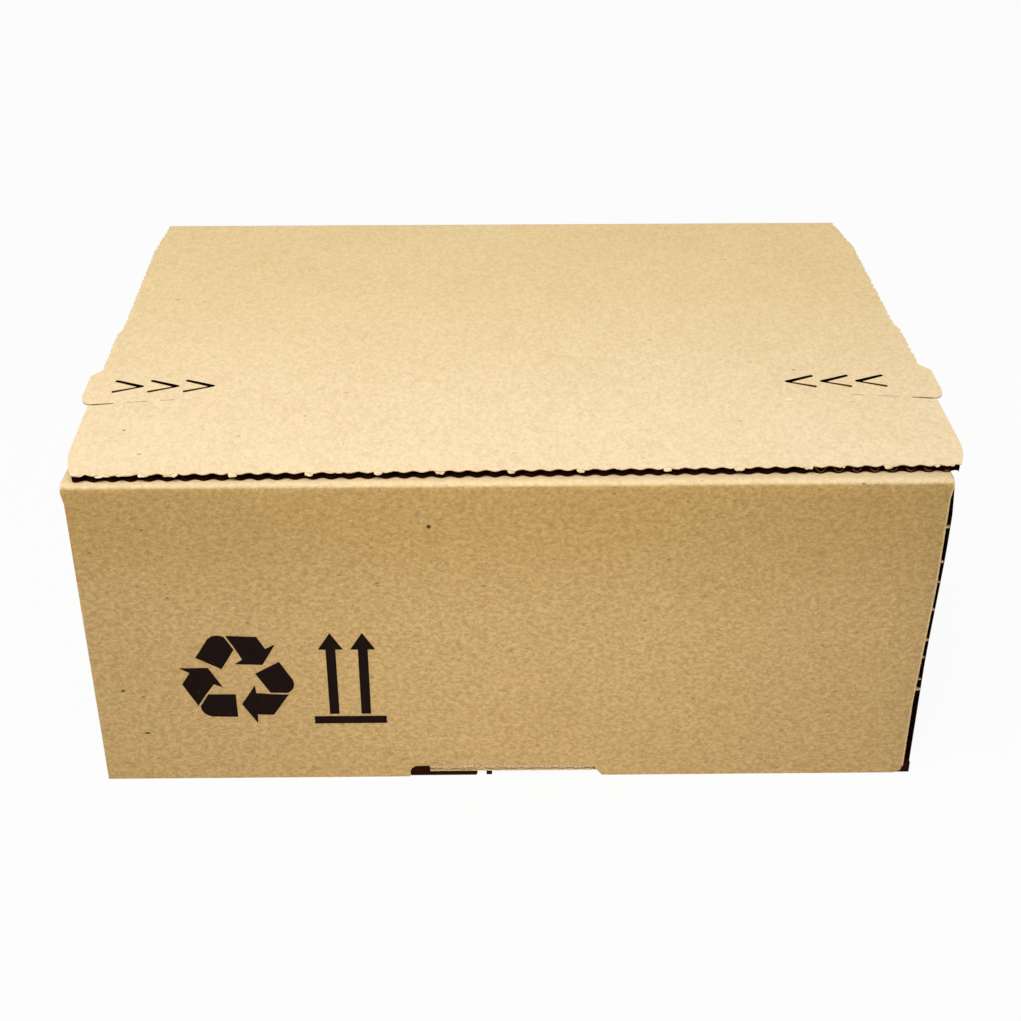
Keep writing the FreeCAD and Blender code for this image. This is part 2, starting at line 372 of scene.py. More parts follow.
def arc(centre: Point, radii: Point, start: float, end: float, steps: int = 6) -> list[Point]:
    """Make an arc.

    Args:
        centre: Its centre.
        radii: Its radii along the first and the second axis.
        start: The angle at its first point.
        end: The angle at its last point.
        steps: How many steps it has.

    Returns:
        Its points in order.
    """
    angles = [start + (end - start) * step / steps for step in range(steps + 1)]
    return [(centre[0] + radii[0] * math.cos(a), centre[1] + radii[1] * math.sin(a)) for a in angles]


@dataclass(frozen=True)
class Run:
    """A straight stretch of a strip, and the limits that its far end is trimmed to."""

    offset: Vector
    low: float
    high: float


@dataclass(frozen=True)
class Turn:
    """A quarter turn of a strip round a fold, right-handed about its axis."""

    centre: Vector
    axis: Vector
    steps: int = 6


@dataclass
class Strip:
    """A strip of corrugated board that runs along its flutes, round its folds.

    The three papers are swept from one end, which starts as a grid standing across the flutes.
    """

    name: str
    board: BoardGrade
    axis: Axis
    start: Vector
    inward: Vector
    low: float
    high: float
    path: Sequence[Run | Turn]
    liner_columns: int = 24
    medium_recess: float = 1.2 * MM
    rim: float = 0.0

    def build(self) -> dict[Layer, bpy.types.Object]:
        """Build the three papers and return them by layer."""
        return {layer: self.sweep(layer) for layer in Layer}

    def _widest(self) -> tuple[float, float]:
        """Return the limits of the widest place on the strip."""
        runs = [move for move in self.path if isinstance(move, Run)]
        return min([self.low] + [r.low for r in runs]), max([self.high] + [r.high for r in runs])

    def _trim(self, edit: Editing, low: float, high: float) -> None:
        """Trim the selected end of the strip to its limits there.

        Args:
            edit: The edit session.
            low: The lower limit across the strip.
            high: The upper limit across the strip.
        """
        across = edit.mesh.verts.layers.float["across"]
        showing = edit.mesh.verts.layers.float["showing"]

        def place(vertex: bmesh.types.BMVert) -> Vector:
            """Return the vertex's place, pulled in to the limits."""
            spot = vertex.co.copy()
            spot[self.axis.value] = min(max(vertex[across], low), high - self.rim * vertex[showing])
            return spot

        edit.move(place, selected_only=True)

    def sweep(self, layer: Layer) -> bpy.types.Object:
        """Sweep one paper along the path.

        Args:
            layer: The paper to sweep.

        Returns:
            The closed paper.
        """
        low, high = self._widest()
        columns = self.liner_columns
        if layer is Layer.MEDIUM:
            columns = round((high - low) / self.board.pitch * self.board.columns_per_flute)
        deselect_all()
        bpy.ops.mesh.primitive_grid_add(x_subdivisions=columns, y_subdivisions=1, size=1)
        piece = settle(f"{self.name}_{layer.value}")
        direction = Vector((0, 0, 0))
        direction[self.axis.value] = 1
        with Editing(piece) as edit:
            edit.mesh.verts.layers.float.new("across")
            edit.mesh.verts.layers.float.new("showing")
            across = edit.mesh.verts.layers.float["across"]
            showing = edit.mesh.verts.layers.float["showing"]

            def first(vertex: bmesh.types.BMVert) -> Vector:
                """Put a grid vertex on the strip's end.

                Args:
                    vertex: The vertex.

                Returns:
                    Its place there.
                """
                place = low + (vertex.co.x + 0.5) * (high - low)
                vertex[across] = place
                vertex[showing] = float(layer is Layer.OUTER and vertex.co.y > 0)
                outer, inner = self.board.depth(layer, place)
                depth = outer if vertex.co.y > 0 else inner
                return self.start + direction * place + self.inward * depth

            edit.move(first)
            edit.select_all()
            drawn_in = self.medium_recess if layer is Layer.MEDIUM else 0
            self._trim(edit, self.low + drawn_in, self.high - drawn_in)
            for move in self.path:
                if isinstance(move, Turn):
                    bpy.ops.mesh.spin(steps=move.steps, dupli=False, angle=-math.pi / 2,
                                      center=move.centre, axis=move.axis)
                else:
                    edit.extrude(move.offset)
                    self._trim(edit, move.low + drawn_in, move.high - drawn_in)
            edit.close()
        return piece


@dataclass(frozen=True)
class Clouds:
    """A cloudy pattern: clouds in a metre, finer layers, stirring, and the values it rises between."""

    scale: float
    detail: float
    stir: float = 0.0
    low: float = 0.0
    high: float = 1.0


class Nodes:
    """A node tree, with short ways to add and join its nodes."""

    def __init__(self, tree: bpy.types.NodeTree) -> None:
        """Take over a tree."""
        self.tree = tree

    def add(self, kind: str, values: dict[str | int, object] | None = None,
            **settings: object) -> bpy.types.Node:
        """Add a node.

        Args:
            kind: The node's type.
            values: What goes to its inputs: a socket is joined, and anything else is set.
            settings: The node's own settings.

        Returns:
            The node.
        """
        node = self.tree.nodes.new(kind)
        for key, value in settings.items():
            setattr(node, key, value)
        for key, value in (values or {}).items():
            self.feed(node.inputs[key], value)
        return node

    def feed(self, socket: bpy.types.NodeSocket, value: object) -> None:
        """Join or set one input.

        Args:
            socket: The input.
            value: A socket to join, or a value to set.
        """
        if isinstance(value, bpy.types.NodeSocket):
            self.tree.links.new(value, socket)
        else:
            socket.default_value = value

    def calculate(self, kind: str, first: object, second: object) -> bpy.types.NodeSocket:
        """Return what a calculation on two values gives, such as MULTIPLY or MAXIMUM."""
        return self.add("ShaderNodeMath", {0: first, 1: second}, operation=kind).outputs["Value"]

    def seen(self, share: float) -> bpy.types.NodeSocket:
        """Tell apart the rays that see a surface, directly or in a gloss.

        Args:
            share: What those rays get.

        Returns:
            The share for those rays, and 0 for the rest.
        """
        path = self.add("ShaderNodeLightPath")
        total = path.outputs["Is Camera Ray"]
        for name in ("Is Glossy Ray", "Is Transmission Ray"):
            total = self.calculate("MAXIMUM", total, path.outputs[name])
        return self.calculate("MULTIPLY", total, share)


class NodeSheet(Nodes):
    """The shader nodes of one material."""

    def __init__(self, name: str) -> None:
        """Start a material.

        Args:
            name: The material's name.
        """
        self.material = bpy.data.materials.new(name)
        self.material.use_nodes = True
        super().__init__(self.material.node_tree)
        self.shader = self.tree.nodes["Principled BSDF"]
        self.place = self.add("ShaderNodeTexCoord").outputs["Object"]

    def finish(self, colour: object, roughness: float, gloss: float,
               surface: bpy.types.NodeSocket | None = None) -> bpy.types.Material:
        """Feed the shader.

        Args:
            colour: The colour.
            roughness: How dull the surface is.
            gloss: How much it reflects.
            surface: The roughened surface direction.

        Returns:
            The material.
        """
        values = {"Base Color": colour, "Roughness": roughness, "Specular IOR Level": gloss}
        for name, value in values.items():
            self.feed(self.shader.inputs[name], value)
        if surface is not None:
            self.feed(self.shader.inputs["Normal"], surface)
        return self.material

    def stretched(self, scale: Sequence[float], shift: Sequence[float] = (0, 0, 0)) -> bpy.types.NodeSocket:
        """Return the object's own coordinates, stretched and shifted."""
        values = {"Vector": self.place, "Scale": scale, "Location": shift}
        return self.add("ShaderNodeMapping", values).outputs["Vector"]

    def noise(self, clouds: Clouds, place: bpy.types.NodeSocket | None = None) -> bpy.types.NodeSocket:
        """Return a cloudy value from 0 to 1, at some coordinates or the object's own."""
        values = {"Vector": place or self.place, "Scale": clouds.scale, "Detail": clouds.detail,
                  "Distortion": clouds.stir}
        return self.add("ShaderNodeTexNoise", values).outputs["Fac"]

    def clouds(self, clouds: Clouds, most: float = 1.0,
               place: bpy.types.NodeSocket | None = None) -> bpy.types.NodeSocket:
        """Return a cloudy value that rises from 0 to the most."""
        return self.band(self.noise(clouds, place), clouds.low, clouds.high, most)

    def band(self, value: bpy.types.NodeSocket, low: float, high: float,
             most: float = 1.0) -> bpy.types.NodeSocket:
        """Return 0 below a band of values and the most above it, with a smooth rise between."""
        values = {"Value": value, "From Min": low, "From Max": high, "To Max": most}
        return self.add("ShaderNodeMapRange", values, interpolation_type="SMOOTHSTEP").outputs["Result"]

    def mix(self, share: object, first: object, second: object, blend: str = "MIX") -> bpy.types.NodeSocket:
        """Mix two colours.

        Args:
            share: How much of the second shows.
            first: The first colour or socket.
            second: The second colour or socket.
            blend: How the second is laid over the first.

        Returns:
            The mixed colour.
        """
        node = self.add("ShaderNodeMix", {0: share}, data_type="RGBA", blend_type=blend)
        for key, value in ((6, first), (7, second)):
            self.feed(node.inputs[key], value if isinstance(value, bpy.types.NodeSocket) else (*value, 1))
        return node.outputs[2]

    def drifted(self, drift: "Drift", colour: bpy.types.NodeSocket,
                most: float = 1.0) -> bpy.types.NodeSocket:
        """Let a colour drift to another along an axis of the box.

        Args:
            drift: The drift.
            colour: The colour.
            most: How far it goes in the end.

        Returns:
            The colour with its drift.
        """
        place = self.add("ShaderNodeSeparateXYZ", {"Vector": self.place}).outputs[drift.axis.value]
        return self.mix(self.band(place, drift.start, drift.end, most), colour, drift.colour)

    def bump(self, height: bpy.types.NodeSocket, strength: float, depth: float,
             under: bpy.types.NodeSocket | None = None) -> bpy.types.NodeSocket:
        """Roughen a surface by a height.

        Args:
            height: The height, 0 to 1.
            strength: How much of it is used.
            depth: The real height of 1, in metres.
            under: A rougher surface direction that this one is laid over.

        Returns:
            The surface direction.
        """
        node = self.add("ShaderNodeBump", {"Height": height, "Strength": strength, "Distance": depth})
        if under is not None:
            self.feed(node.inputs["Normal"], under)
        return node.outputs["Normal"]


@dataclass(frozen=True)
class Drift:
    """A slow change of tone along one axis of the box, which may also veil the mottling there. In this box
    each drift is painted light or shade.
    """

    axis: Axis
    start: float
    end: float
    colour: Colour
    veil: float = 0.0


@dataclass(frozen=True)
class Speck:
    """A small spot of dirt or bark in the paper."""

    place: Triple
    radius: float
    stretch: float = 1.0
    tone: float = 0.25


WIDE_CLOUDS = Clouds(26, 3, 0.0, 0.3, 0.7)
PATCHES = Clouds(260, 4, 0.6, 0.48, 0.74)
GRAIN = Clouds(720, 5, 0.8, 0.34, 0.66)
DARK_FIBRES = Clouds(1100, 2, 1.2, 0.57, 0.7)
PALE_FIBRES = Clouds(1300, 2, 1.4, 0.58, 0.72)
TOOTH = Clouds(700, 5, 0.5)


@dataclass(frozen=True)
class Flecks:
    """Flecks scattered over paper: cells in a metre, size in a cell, tone, and the shift of the cells."""

    scale: float
    size: float
    tone: float
    shift: float


@dataclass(frozen=True)
class KraftPaper:
    """Brown paper with pressed fibres, mottling and specks."""

    name: str
    base: Colour
    shade: Colour
    pale: Colour
    grain: float = 0.12
    mottling: float = 0.3
    fibres: float = 0.4
    flecks: float = 0.5
    fibre_stretch: Triple = (0.7, 1.0, 1.0)
    fleck_stretch: Triple = (0.6, 1.0, 1.3)
    washboard: float = 0.1
    ridge_height: float = 0.08 * MM
    tooth: float = 0.5
    tooth_height: float = 0.14 * MM
    roughness: float = 0.88
    gloss: float = 0.15
    drifts: tuple[Drift, ...] = ()
    specks: tuple[Speck, ...] = ()
    brightest: float = 0.88
    scattered: tuple[Flecks, ...] = (Flecks(150, 0.1, 0.5, 0.0), Flecks(70, 0.05, 0.3, 4.0))

    def build(self) -> bpy.types.Material:
        """Build and return the paper."""
        sheet = NodeSheet(self.name)
        along = sheet.stretched(self.fibre_stretch)
        colour = sheet.mix(0.0, self.base, self.base)
        # The drifts lay painted light and shade along the box's axes, under the mottling.
        for drift in self.drifts:
            colour = sheet.drifted(drift, colour)
        colour = sheet.mix(sheet.clouds(WIDE_CLOUDS, self.mottling / 2), colour, self.shade)
        colour = sheet.mix(sheet.clouds(PATCHES, self.mottling, along), colour, self.shade)
        colour = sheet.mix(1.0, colour, self._grain(sheet, along), "MULTIPLY")
        colour = sheet.mix(sheet.clouds(DARK_FIBRES, self.fibres, along), colour, self._shaded(0.8))
        other = sheet.stretched(self.fibre_stretch, (3, 5, 7))
        colour = sheet.mix(sheet.clouds(PALE_FIBRES, self.fibres, other), colour, self.pale)
        # The drifts again, veiling the mottling with their painted light and shade.
        for drift in self.drifts:
            colour = sheet.drifted(drift, colour, drift.veil)
        for flecks in self.scattered:
            colour = self._fleck(sheet, colour, flecks)
        for speck in self.specks:
            colour = self._speck(sheet, colour, speck)
        ridges = {"Vector": sheet.place, "Scale": 2 * math.pi / WAVE_TEXTURE_RATE / FLUTE_PITCH}
        wave = sheet.add("ShaderNodeTexWave", ridges, wave_type="BANDS", bands_direction="X",
                         wave_profile="SIN")
        under = sheet.bump(wave.outputs["Fac"], self.washboard, self.ridge_height)
        surface = sheet.bump(sheet.noise(TOOTH, along), self.tooth, self.tooth_height, under)
        return sheet.finish(colour, self.roughness, self.gloss, surface)

    def _shaded(self, tone: float) -> Colour:
        """Return the shade, darker or paler."""
        return tuple(share * tone for share in self.shade)

    def _grain(self, sheet: NodeSheet, along: bpy.types.NodeSocket) -> bpy.types.NodeSocket:
        """Return fine grain, dark and light, by which a colour is multiplied.

        Args:
            sheet: The material's nodes.
            along: Coordinates stretched along the fibres.

        Returns:
            The grain.
        """
        dark = tuple(1 - self.grain * more for more in (1.0, 1.25, 1.6))
        light = (1 + self.grain * 0.9,) * 3
        return sheet.mix(sheet.clouds(GRAIN, place=along), dark, light)

    def _fleck(self, sheet: NodeSheet, colour: bpy.types.NodeSocket,
               flecks: Flecks) -> bpy.types.NodeSocket:
        """Scatter a few dark flecks over a colour.

        Args:
            sheet: The material's nodes.
            colour: The colour under the flecks.
            flecks: The flecks.

        Returns:
            The colour with its flecks.
        """
        place = sheet.stretched(self.fleck_stretch, (flecks.shift,) * 3)
        values = {"Vector": place, "Scale": flecks.scale, "Randomness": 1.0}
        cells = sheet.add("ShaderNodeTexVoronoi", values)
        away = sheet.band(cells.outputs["Distance"], flecks.size * 0.4, flecks.size)
        rare = sheet.clouds(Clouds(flecks.scale * 0.7, 0, 0.0, 0.56, 0.62), self.flecks, place)
        share = sheet.calculate("MULTIPLY", sheet.calculate("SUBTRACT", 1.0, away), rare)
        return sheet.mix(share, colour, self._shaded(flecks.tone))

    def _speck(self, sheet: NodeSheet, colour: bpy.types.NodeSocket, speck: Speck) -> bpy.types.NodeSocket:
        """Put one speck on a colour.

        Args:
            sheet: The material's nodes.
            colour: The colour under it.
            speck: The speck.

        Returns:
            The colour with the speck.
        """
        squeezed = (1 / speck.stretch, 1.0, 1.0)
        shift = tuple(-spot * share for spot, share in zip(speck.place, squeezed))
        reach = sheet.add("ShaderNodeVectorMath", {0: sheet.stretched(squeezed, shift)}, operation="LENGTH")
        away = sheet.band(reach.outputs["Value"], speck.radius * 0.4, speck.radius)
        target = tuple(min(share, self.brightest) for share in self._shaded(speck.tone))
        return sheet.mix(sheet.calculate("SUBTRACT", 1.0, away), colour, target)


@dataclass(frozen=True)
class PlainFinish:
    """Two tones in soft patches over a rough surface, such as torn paper, print or dried glue."""

    name: str
    base: Colour
    shade: Colour
    patches: Clouds
    most: float
    roughness: float
    gloss: float
    tooth: Clouds
    tooth_strength: float
    tooth_depth: float

    def build(self) -> bpy.types.Material:
        """Build and return the finish."""
        sheet = NodeSheet(self.name)
        colour = sheet.mix(sheet.clouds(self.patches, self.most), self.base, self.shade)
        surface = sheet.bump(sheet.noise(self.tooth), self.tooth_strength, self.tooth_depth)
        return sheet.finish(colour, self.roughness, self.gloss, surface)


def torn_paper(name: str, base: Colour, shade: Colour) -> bpy.types.Material:
    """Return paper where it is cut or torn, with its fibres showing."""
    return PlainFinish(name, base, shade, Clouds(1400, 3, 0.8, 0.35, 0.7), 1.0, 0.95, 0.02,
                       Clouds(2500, 3), 0.6, 0.15 * MM).build()


def print_ink(name: str, base: Colour, worn: Colour) -> bpy.types.Material:
    """Return flat dark print that lets a little of the paper's grain through."""
    return PlainFinish(name, base, worn, Clouds(1300, 3, 0.6, 0.6, 0.78), 0.35, 0.8, 0.05,
                       Clouds(900, 4), 0.3, 0.1 * MM).build()


def adhesive(name: str, base: Colour, shade: Colour, roughness: float) -> bpy.types.Material:
    """Return dried glue or a thin film, a little glossy and uneven."""
    return PlainFinish(name, base, shade, Clouds(180, 3, 0.0, 0.35, 0.65), 1.0, roughness, 0.5,
                       Clouds(260, 2), 0.3, 0.1 * MM).build()


WALL_SPECKS = (
    Speck((-28.8 * MM, -119.5 * MM, 115.8 * MM), 1.15 * MM, tone=0.15),
    Speck((-131.6 * MM, -119.5 * MM, 115.2 * MM), 0.6 * MM, tone=0.5),
    Speck((-146.7 * MM, -119.5 * MM, 43.3 * MM), 0.8 * MM, 1.6, 0.35),
    Speck((-139.8 * MM, -119.5 * MM, 22.8 * MM), 0.7 * MM, 2.6, 0.3),
    Speck((-20.6 * MM, -119.5 * MM, 43.6 * MM), 0.8 * MM, tone=1.9),
)

LID_SPECKS = (
    Speck((113.2 * MM, -38.0 * MM, 136.8 * MM), 0.8 * MM, 1.5, 0.7),
    Speck((107.5 * MM, -62.8 * MM, 136.8 * MM), 1.3 * MM, 1.4, 2.0),
    Speck((-132.8 * MM, -102.5 * MM, 136.8 * MM), 0.6 * MM, 2.2, 0.72),
    Speck((-141.6 * MM, -84.4 * MM, 136.8 * MM), 0.8 * MM, tone=0.6),
)


class Finishes:
    """The finishes of the box, built once and shared by its pieces."""

    def __init__(self) -> None:
        """Build every finish."""
        # The lid's paper is paler at the front and darker towards the rear: painted light and shade of the
        # lamps' fall-off.
        painted_light_falloff = Drift(Axis.Y, -105 * MM, 90 * MM, srgb(234, 209, 158))
        # The lid's paper is a paler copy of the walls' paper of the same board: painted light on the upward
        # face.
        self.lid = KraftPaper("painted_light_lid_paper", srgb(238, 216, 178), srgb(214, 184, 128), srgb(250, 236, 206),
                              grain=0.06, mottling=0.2, fibres=0.25, fibre_stretch=(0.9, 0.6, 1.0),
                              specks=LID_SPECKS, drifts=(painted_light_falloff,)).build()
        # Darker towards the wall's top: painted shade.
        painted_shade_upper_wall = Drift(Axis.Z, 70 * MM, 122 * MM, srgb(182, 151, 95))
        # Paler and veiled on the top fold and the flap's upward face: painted light on the ledge.
        painted_light_ledge = Drift(Axis.Z, 131.6 * MM, 133.0 * MM, srgb(228, 206, 164), veil=0.55)
        self.wall = KraftPaper("wall_paper", srgb(192, 162, 110), srgb(160, 124, 70), srgb(214, 188, 142),
                               grain=0.14, mottling=0.14, fibres=0.55, flecks=0.7, specks=WALL_SPECKS,
                               drifts=(painted_shade_upper_wall, painted_light_ledge)).build()
        self.inside = KraftPaper("inside_paper", srgb(192, 160, 108), srgb(160, 122, 70),
                                 srgb(214, 186, 140)).build()
        # The near-black medium paper is painted shade of the hollow flutes. It also dresses cut faces, open
        # ends and dark blocks that stand in shade.
        self.medium = torn_paper("painted_shade_medium", srgb(44, 20, 10), srgb(28, 12, 6))
        # A paler copy of the dark medium paper, for the flute ends on the right of the lid's front edge:
        # painted highlight.
        self.painted_highlight_medium = torn_paper("painted_highlight_flute_ends", srgb(150, 110, 64), srgb(100, 66, 34))
        self.cut = torn_paper("cut_board_edge", srgb(118, 82, 38), srgb(78, 50, 22))
        self.edge = torn_paper("torn_paper_edge", srgb(232, 208, 162), srgb(186, 148, 96))
        self.ink = print_ink("print_ink", srgb(24, 14, 12), srgb(70, 48, 34))
        self.glue = adhesive("dried_glue", srgb(226, 214, 186), srgb(206, 190, 156), 0.4)
        self.tape = adhesive("tape_film", srgb(206, 178, 132), srgb(186, 156, 110), 0.3)
        self.papers = {Layer.OUTER: self.wall, Layer.MEDIUM: self.medium, Layer.INNER: self.inside}


def dress(piece: bpy.types.Object, finishes: Sequence[bpy.types.Material],
          replaces: bool = True) -> bpy.types.Object:
    """Give a finished piece its materials and its place in the box.

    Args:
        piece: The piece.
        finishes: Its materials, by material number.
        replaces: Whether the piece stands for the folded board.

    Returns:
        The piece.
    """
    piece.data.materials.clear()
    for finish in finishes:
        piece.data.materials.append(finish)
    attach(piece, ROOT)
    if replaces:
        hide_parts(BOARD_NODE)
    return piece


def mark_faces(piece: bpy.types.Object, number: int, test: Callable[[Vector, Vector], bool]) -> None:
    """Give some of a piece's faces another material.

    Args:
        piece: The piece.
        number: The material's number.
        test: Says from a face's centre and normal whether it counts.
    """
    for face in piece.data.polygons:
        if test(face.center, face.normal):
            face.material_index = number


def smooth(piece: bpy.types.Object, degrees: float = 40) -> None:
    """Smooth a piece's shading across shallow edges.

    Args:
        piece: The piece.
        degrees: The sharpest edge that is smoothed.
    """
    select(piece)
    bpy.ops.object.shade_smooth_by_angle(angle=math.radians(degrees))


@dataclass
class WrapSheet:
    """The middle of the blank: the inner flap, front wall, bottom and back wall."""

    plan: BoxPlan
    finishes: Finishes
    flap_length: float = 47 * MM
    flap_taper: float = 6 * MM
    flap_taper_start: float = 24 * MM
    corner_radius: float = 4 * MM
    slot_middle: float = -1.2 * MM
    slot_width: float = 75.4 * MM
    slot_height: float = 5.3 * MM
    slot_depth: float = 7 * MM
    slot_radius: float = 3 * MM
    slot_slant: float = 4.1 * MM
    web_end: float = -12.9 * MM
    web_step: float = -31.4 * MM
    web_height: float = 1.4 * MM
    web_floor: float = 0.05 * MM
    web_headroom: float = 0.9 * MM
    web_slope: float = 1.5 * MM
    web_behind: Span = (0.6 * MM, 6 * MM)
    chip_across: Span = (-9.0 * MM, -6.8 * MM)
    chip_behind: Span = (0.8 * MM, 4 * MM)
    margin: float = 0.1 * MM
    cutter_reach: float = 2 * MM
    rim: float = 0.7 * MM
    top_overhang: float = 0.5 * MM
    overhang_drop: float = 4.5 * MM
    upper_right: float = 157.4 * MM
    lower_right: float = 155.3 * MM
    lean_top: float = 88 * MM
    lean_bottom: float = 34 * MM
    crease_squareness: float = 1.0
    corner_step: float = 0.3 * MM

    def build(self) -> list[bpy.types.Object]:
        """Build and dress the dark block in the slot and the three papers, and return them; the block is
        painted shade.
        """
        papers = self._strip().build()
        corner = self._corner_cutter()
        slot = self._slot_cutter()
        pieces = [self._painted_shade_slot_block()]
        for layer, piece in papers.items():
            self._square_crease(piece)
            if layer is not Layer.MEDIUM:
                cut(piece, corner, Cut.REMOVE)
            cut(piece, slot, Cut.REMOVE)
            smooth(piece)
            dress(piece, [self.finishes.papers[layer], self.finishes.edge, self.finishes.medium])
            if layer is Layer.OUTER:
                mark_faces(piece, 1, self._is_torn_side)
            # Cut faces of the slot and the rounded corner get the dark medium paper: painted shade.
            mark_faces(piece, 2, self._is_painted_shade_cut)
            pieces.append(piece)
        discard(corner, slot)
        return pieces

    def _square_crease(self, piece: bpy.types.Object) -> None:
        """Press the front wall's bottom crease squarer than a round fold.

        Args:
            piece: One of the wrap's papers.
        """
        near, low = self.plan.front_y + self.plan.cad_board, self.plan.cad_board

        def pressed(vertex: bmesh.types.BMVert) -> Vector:
            """Push a vertex of the round fold towards the square corner.

            Args:
                vertex: The vertex.

            Returns:
                Its new place.
            """
            behind, above = vertex.co.y - near, vertex.co.z - low
            reach = math.hypot(behind, above)
            if behind >= 0 or above >= 0 or reach < 1e-6:
                return vertex.co
            grow = (reach / max(abs(behind), abs(above))) ** self.crease_squareness
            return Vector((vertex.co.x, near + behind * grow, low + above * grow))

        with Editing(piece) as edit:
            edit.move(pressed)

    def _painted_shade_slot_block(self) -> bpy.types.Object:
        """Return a dark block in the slot, under and beside the tongue: painted shade of the slot's hollow.
        """
        near, far = (self.plan.front_y + behind for behind in self.web_behind)
        left = self.slot_middle - self.slot_width / 2
        low, high = self.web_floor, self.slot_height - self.web_headroom
        outline = [(left + self.margin, low), (self.web_end, low),
                   (self.web_end + 4 * self.margin, self.web_height), (self.web_step, self.web_height),
                   (self.web_step, high), (left + 9 * self.margin, high),
                   (left + self.margin, high - self.web_slope)]
        web = upright("web", outline, near, far)
        near, far = (self.plan.front_y + behind for behind in self.chip_behind)
        left, right = self.chip_across
        outline = [(left, low), (right, low), (right, self.web_height), (left, self.web_height)]
        chip = upright("chip", outline, near, far)
        return dress(join([web, chip], "painted_shade_slot_block"), [self.finishes.medium])

    def _is_torn_side(self, centre: Vector, normal: Vector) -> bool:
        """Say whether a face is on the sheet's left or right edge."""
        return abs(normal.x) > 0.3 and abs(centre.x) > self.plan.half_width / 2

    def _is_painted_shade_cut(self, centre: Vector, normal: Vector) -> bool:
        """Say whether a face is a cut face of the slot or of the rounded corner, dressed dark as painted
        shade.

        Args:
            centre: The face's middle.
            normal: Its direction.

        Returns:
            Whether it is one.
        """
        front, margin, thick = self.plan.front_y, self.margin, self.plan.cad_board
        inner = self.plan.half_width - thick
        in_slot = abs(centre.x - self.slot_middle) < self.slot_width / 2 + margin
        if in_slot and front + margin / 5 < centre.y < front + self.slot_depth + margin:
            return centre.z < self.slot_height + margin
        reach = self.corner_radius + margin
        if centre.x > inner - reach and centre.z < reach and centre.y < front + thick + MM:
            return normal.x > 0.1 or (normal.y < -0.9 and centre.y > front + thick - margin)
        return False

    def _strip(self) -> Strip:
        """Return the strip from the flap's free end to the lid's fold."""
        plan, thick = self.plan, self.plan.cad_board
        front, back, half = plan.front_y, plan.back_y, plan.front_half
        inner_half = plan.half_width - thick
        back_half = plan.back_width / 2
        low_z, flap_z = thick, plan.body_height - thick
        end_y = front + thick + self.flap_length
        taper_y = front + self.flap_taper_start
        corner = thick + plan.layer_gap - self.corner_step
        x_axis = Vector((1, 0, 0))

        def fold(y: float, z: float) -> Turn:
            """Return the fold round a corner line."""
            return Turn(Vector((0, y, z)), x_axis)

        def level(length: float, left: float, right: float) -> Run:
            """Return a run towards the back."""
            return Run(Vector((0, length, 0)), left, right)

        def upward(length: float, left: float, right: float) -> Run:
            """Return a run upwards."""
            return Run(Vector((0, 0, length)), left, right)

        path = [
            level(taper_y - end_y, -half, half),
            level(front + thick - taper_y, -half - 1.6 * self.top_overhang, half + self.top_overhang),
            fold(front + thick, flap_z),
            upward(-self.overhang_drop, -half, self.upper_right),
            upward(self.lean_top - flap_z + self.overhang_drop, -half, self.upper_right),
            upward(self.lean_bottom - self.lean_top, -half, self.lower_right),
            upward(low_z - self.lean_bottom, -half, self.lower_right),
            fold(front + thick, low_z),
            level(corner, -half, inner_half),
            level(self.corner_step, -inner_half, inner_half),
            level(back - front - 2 * (thick + corner + self.corner_step), -inner_half, inner_half),
            level(self.corner_step, -back_half, back_half),
            level(corner, -back_half, back_half),
            fold(back - thick, low_z),
            upward(plan.lid_bottom - low_z - plan.rear_nip_height, -back_half, back_half),
            upward(plan.rear_nip_height, -back_half, back_half - plan.rear_nip),
            fold(back - thick, plan.lid_bottom),
        ]
        end_half = half - self.flap_taper
        return Strip("wrap", plan.board, Axis.X, Vector((0, end_y, plan.body_height)), Vector((0, 0, -1)),
                     -end_half, end_half, path, rim=self.rim)

    def _corner_cutter(self) -> bpy.types.Object:
        """Return what is cut away outside the front wall's rounded lower right corner."""
        plan, radius = self.plan, self.corner_radius
        middle = self.lower_right - radius
        outline = arc((middle, radius), (radius, radius), -math.pi / 2, 0)
        outline += [(plan.half_width, radius), (plan.half_width, -radius), (middle, -radius)]
        far = plan.front_y + plan.cad_board + plan.layer_gap / 2
        return upright("corner_cutter", outline, plan.front_y - self.cutter_reach, far)

    def _slot_cutter(self) -> bpy.types.Object:
        """Return the cutter of the lock slot in the front wall's bottom fold."""
        front, radius, height = self.plan.front_y, self.slot_radius, self.slot_height
        left = self.slot_middle - self.slot_width / 2
        right = self.slot_middle + self.slot_width / 2
        outline = arc((left + radius, height - radius), (radius, radius), math.pi, math.pi / 2)
        outline += [(right - self.slot_slant, height), (right, 0), (right, -height), (left, -height)]
        return upright("slot_cutter", outline[::-1], front - self.cutter_reach, front + self.slot_depth)


@dataclass
class LockTongue:
    """The end of the tongue that locks in the front wall's slot, with its flutes showing."""

    plan: BoxPlan
    finishes: Finishes
    left: float = -31.2 * MM
    right: float = 34.2 * MM
    setback: float = 1.0 * MM
    root_behind: float = 11 * MM
    underside: float = 1.8 * MM
    crushed: BoardGrade = BoardGrade(liner=0.35 * MM, inner_liner=1.5 * MM, medium=0.3 * MM)

    def build(self) -> bpy.types.Object:
        """Build, dress and return the tongue."""
        plan = self.plan
        start = Vector((0, plan.front_y + self.root_behind, self.underside))
        run = Run(Vector((0, self.setback - self.root_behind, 0)), self.left, self.right)
        strip = Strip("lock_tongue", self.crushed, Axis.X, start, Vector((0, 0, 1)), self.left, self.right,
                      [run])
        piece = join(list(strip.build().values()), "lock_tongue")
        smooth(piece)
        return dress(piece, [self.finishes.edge])


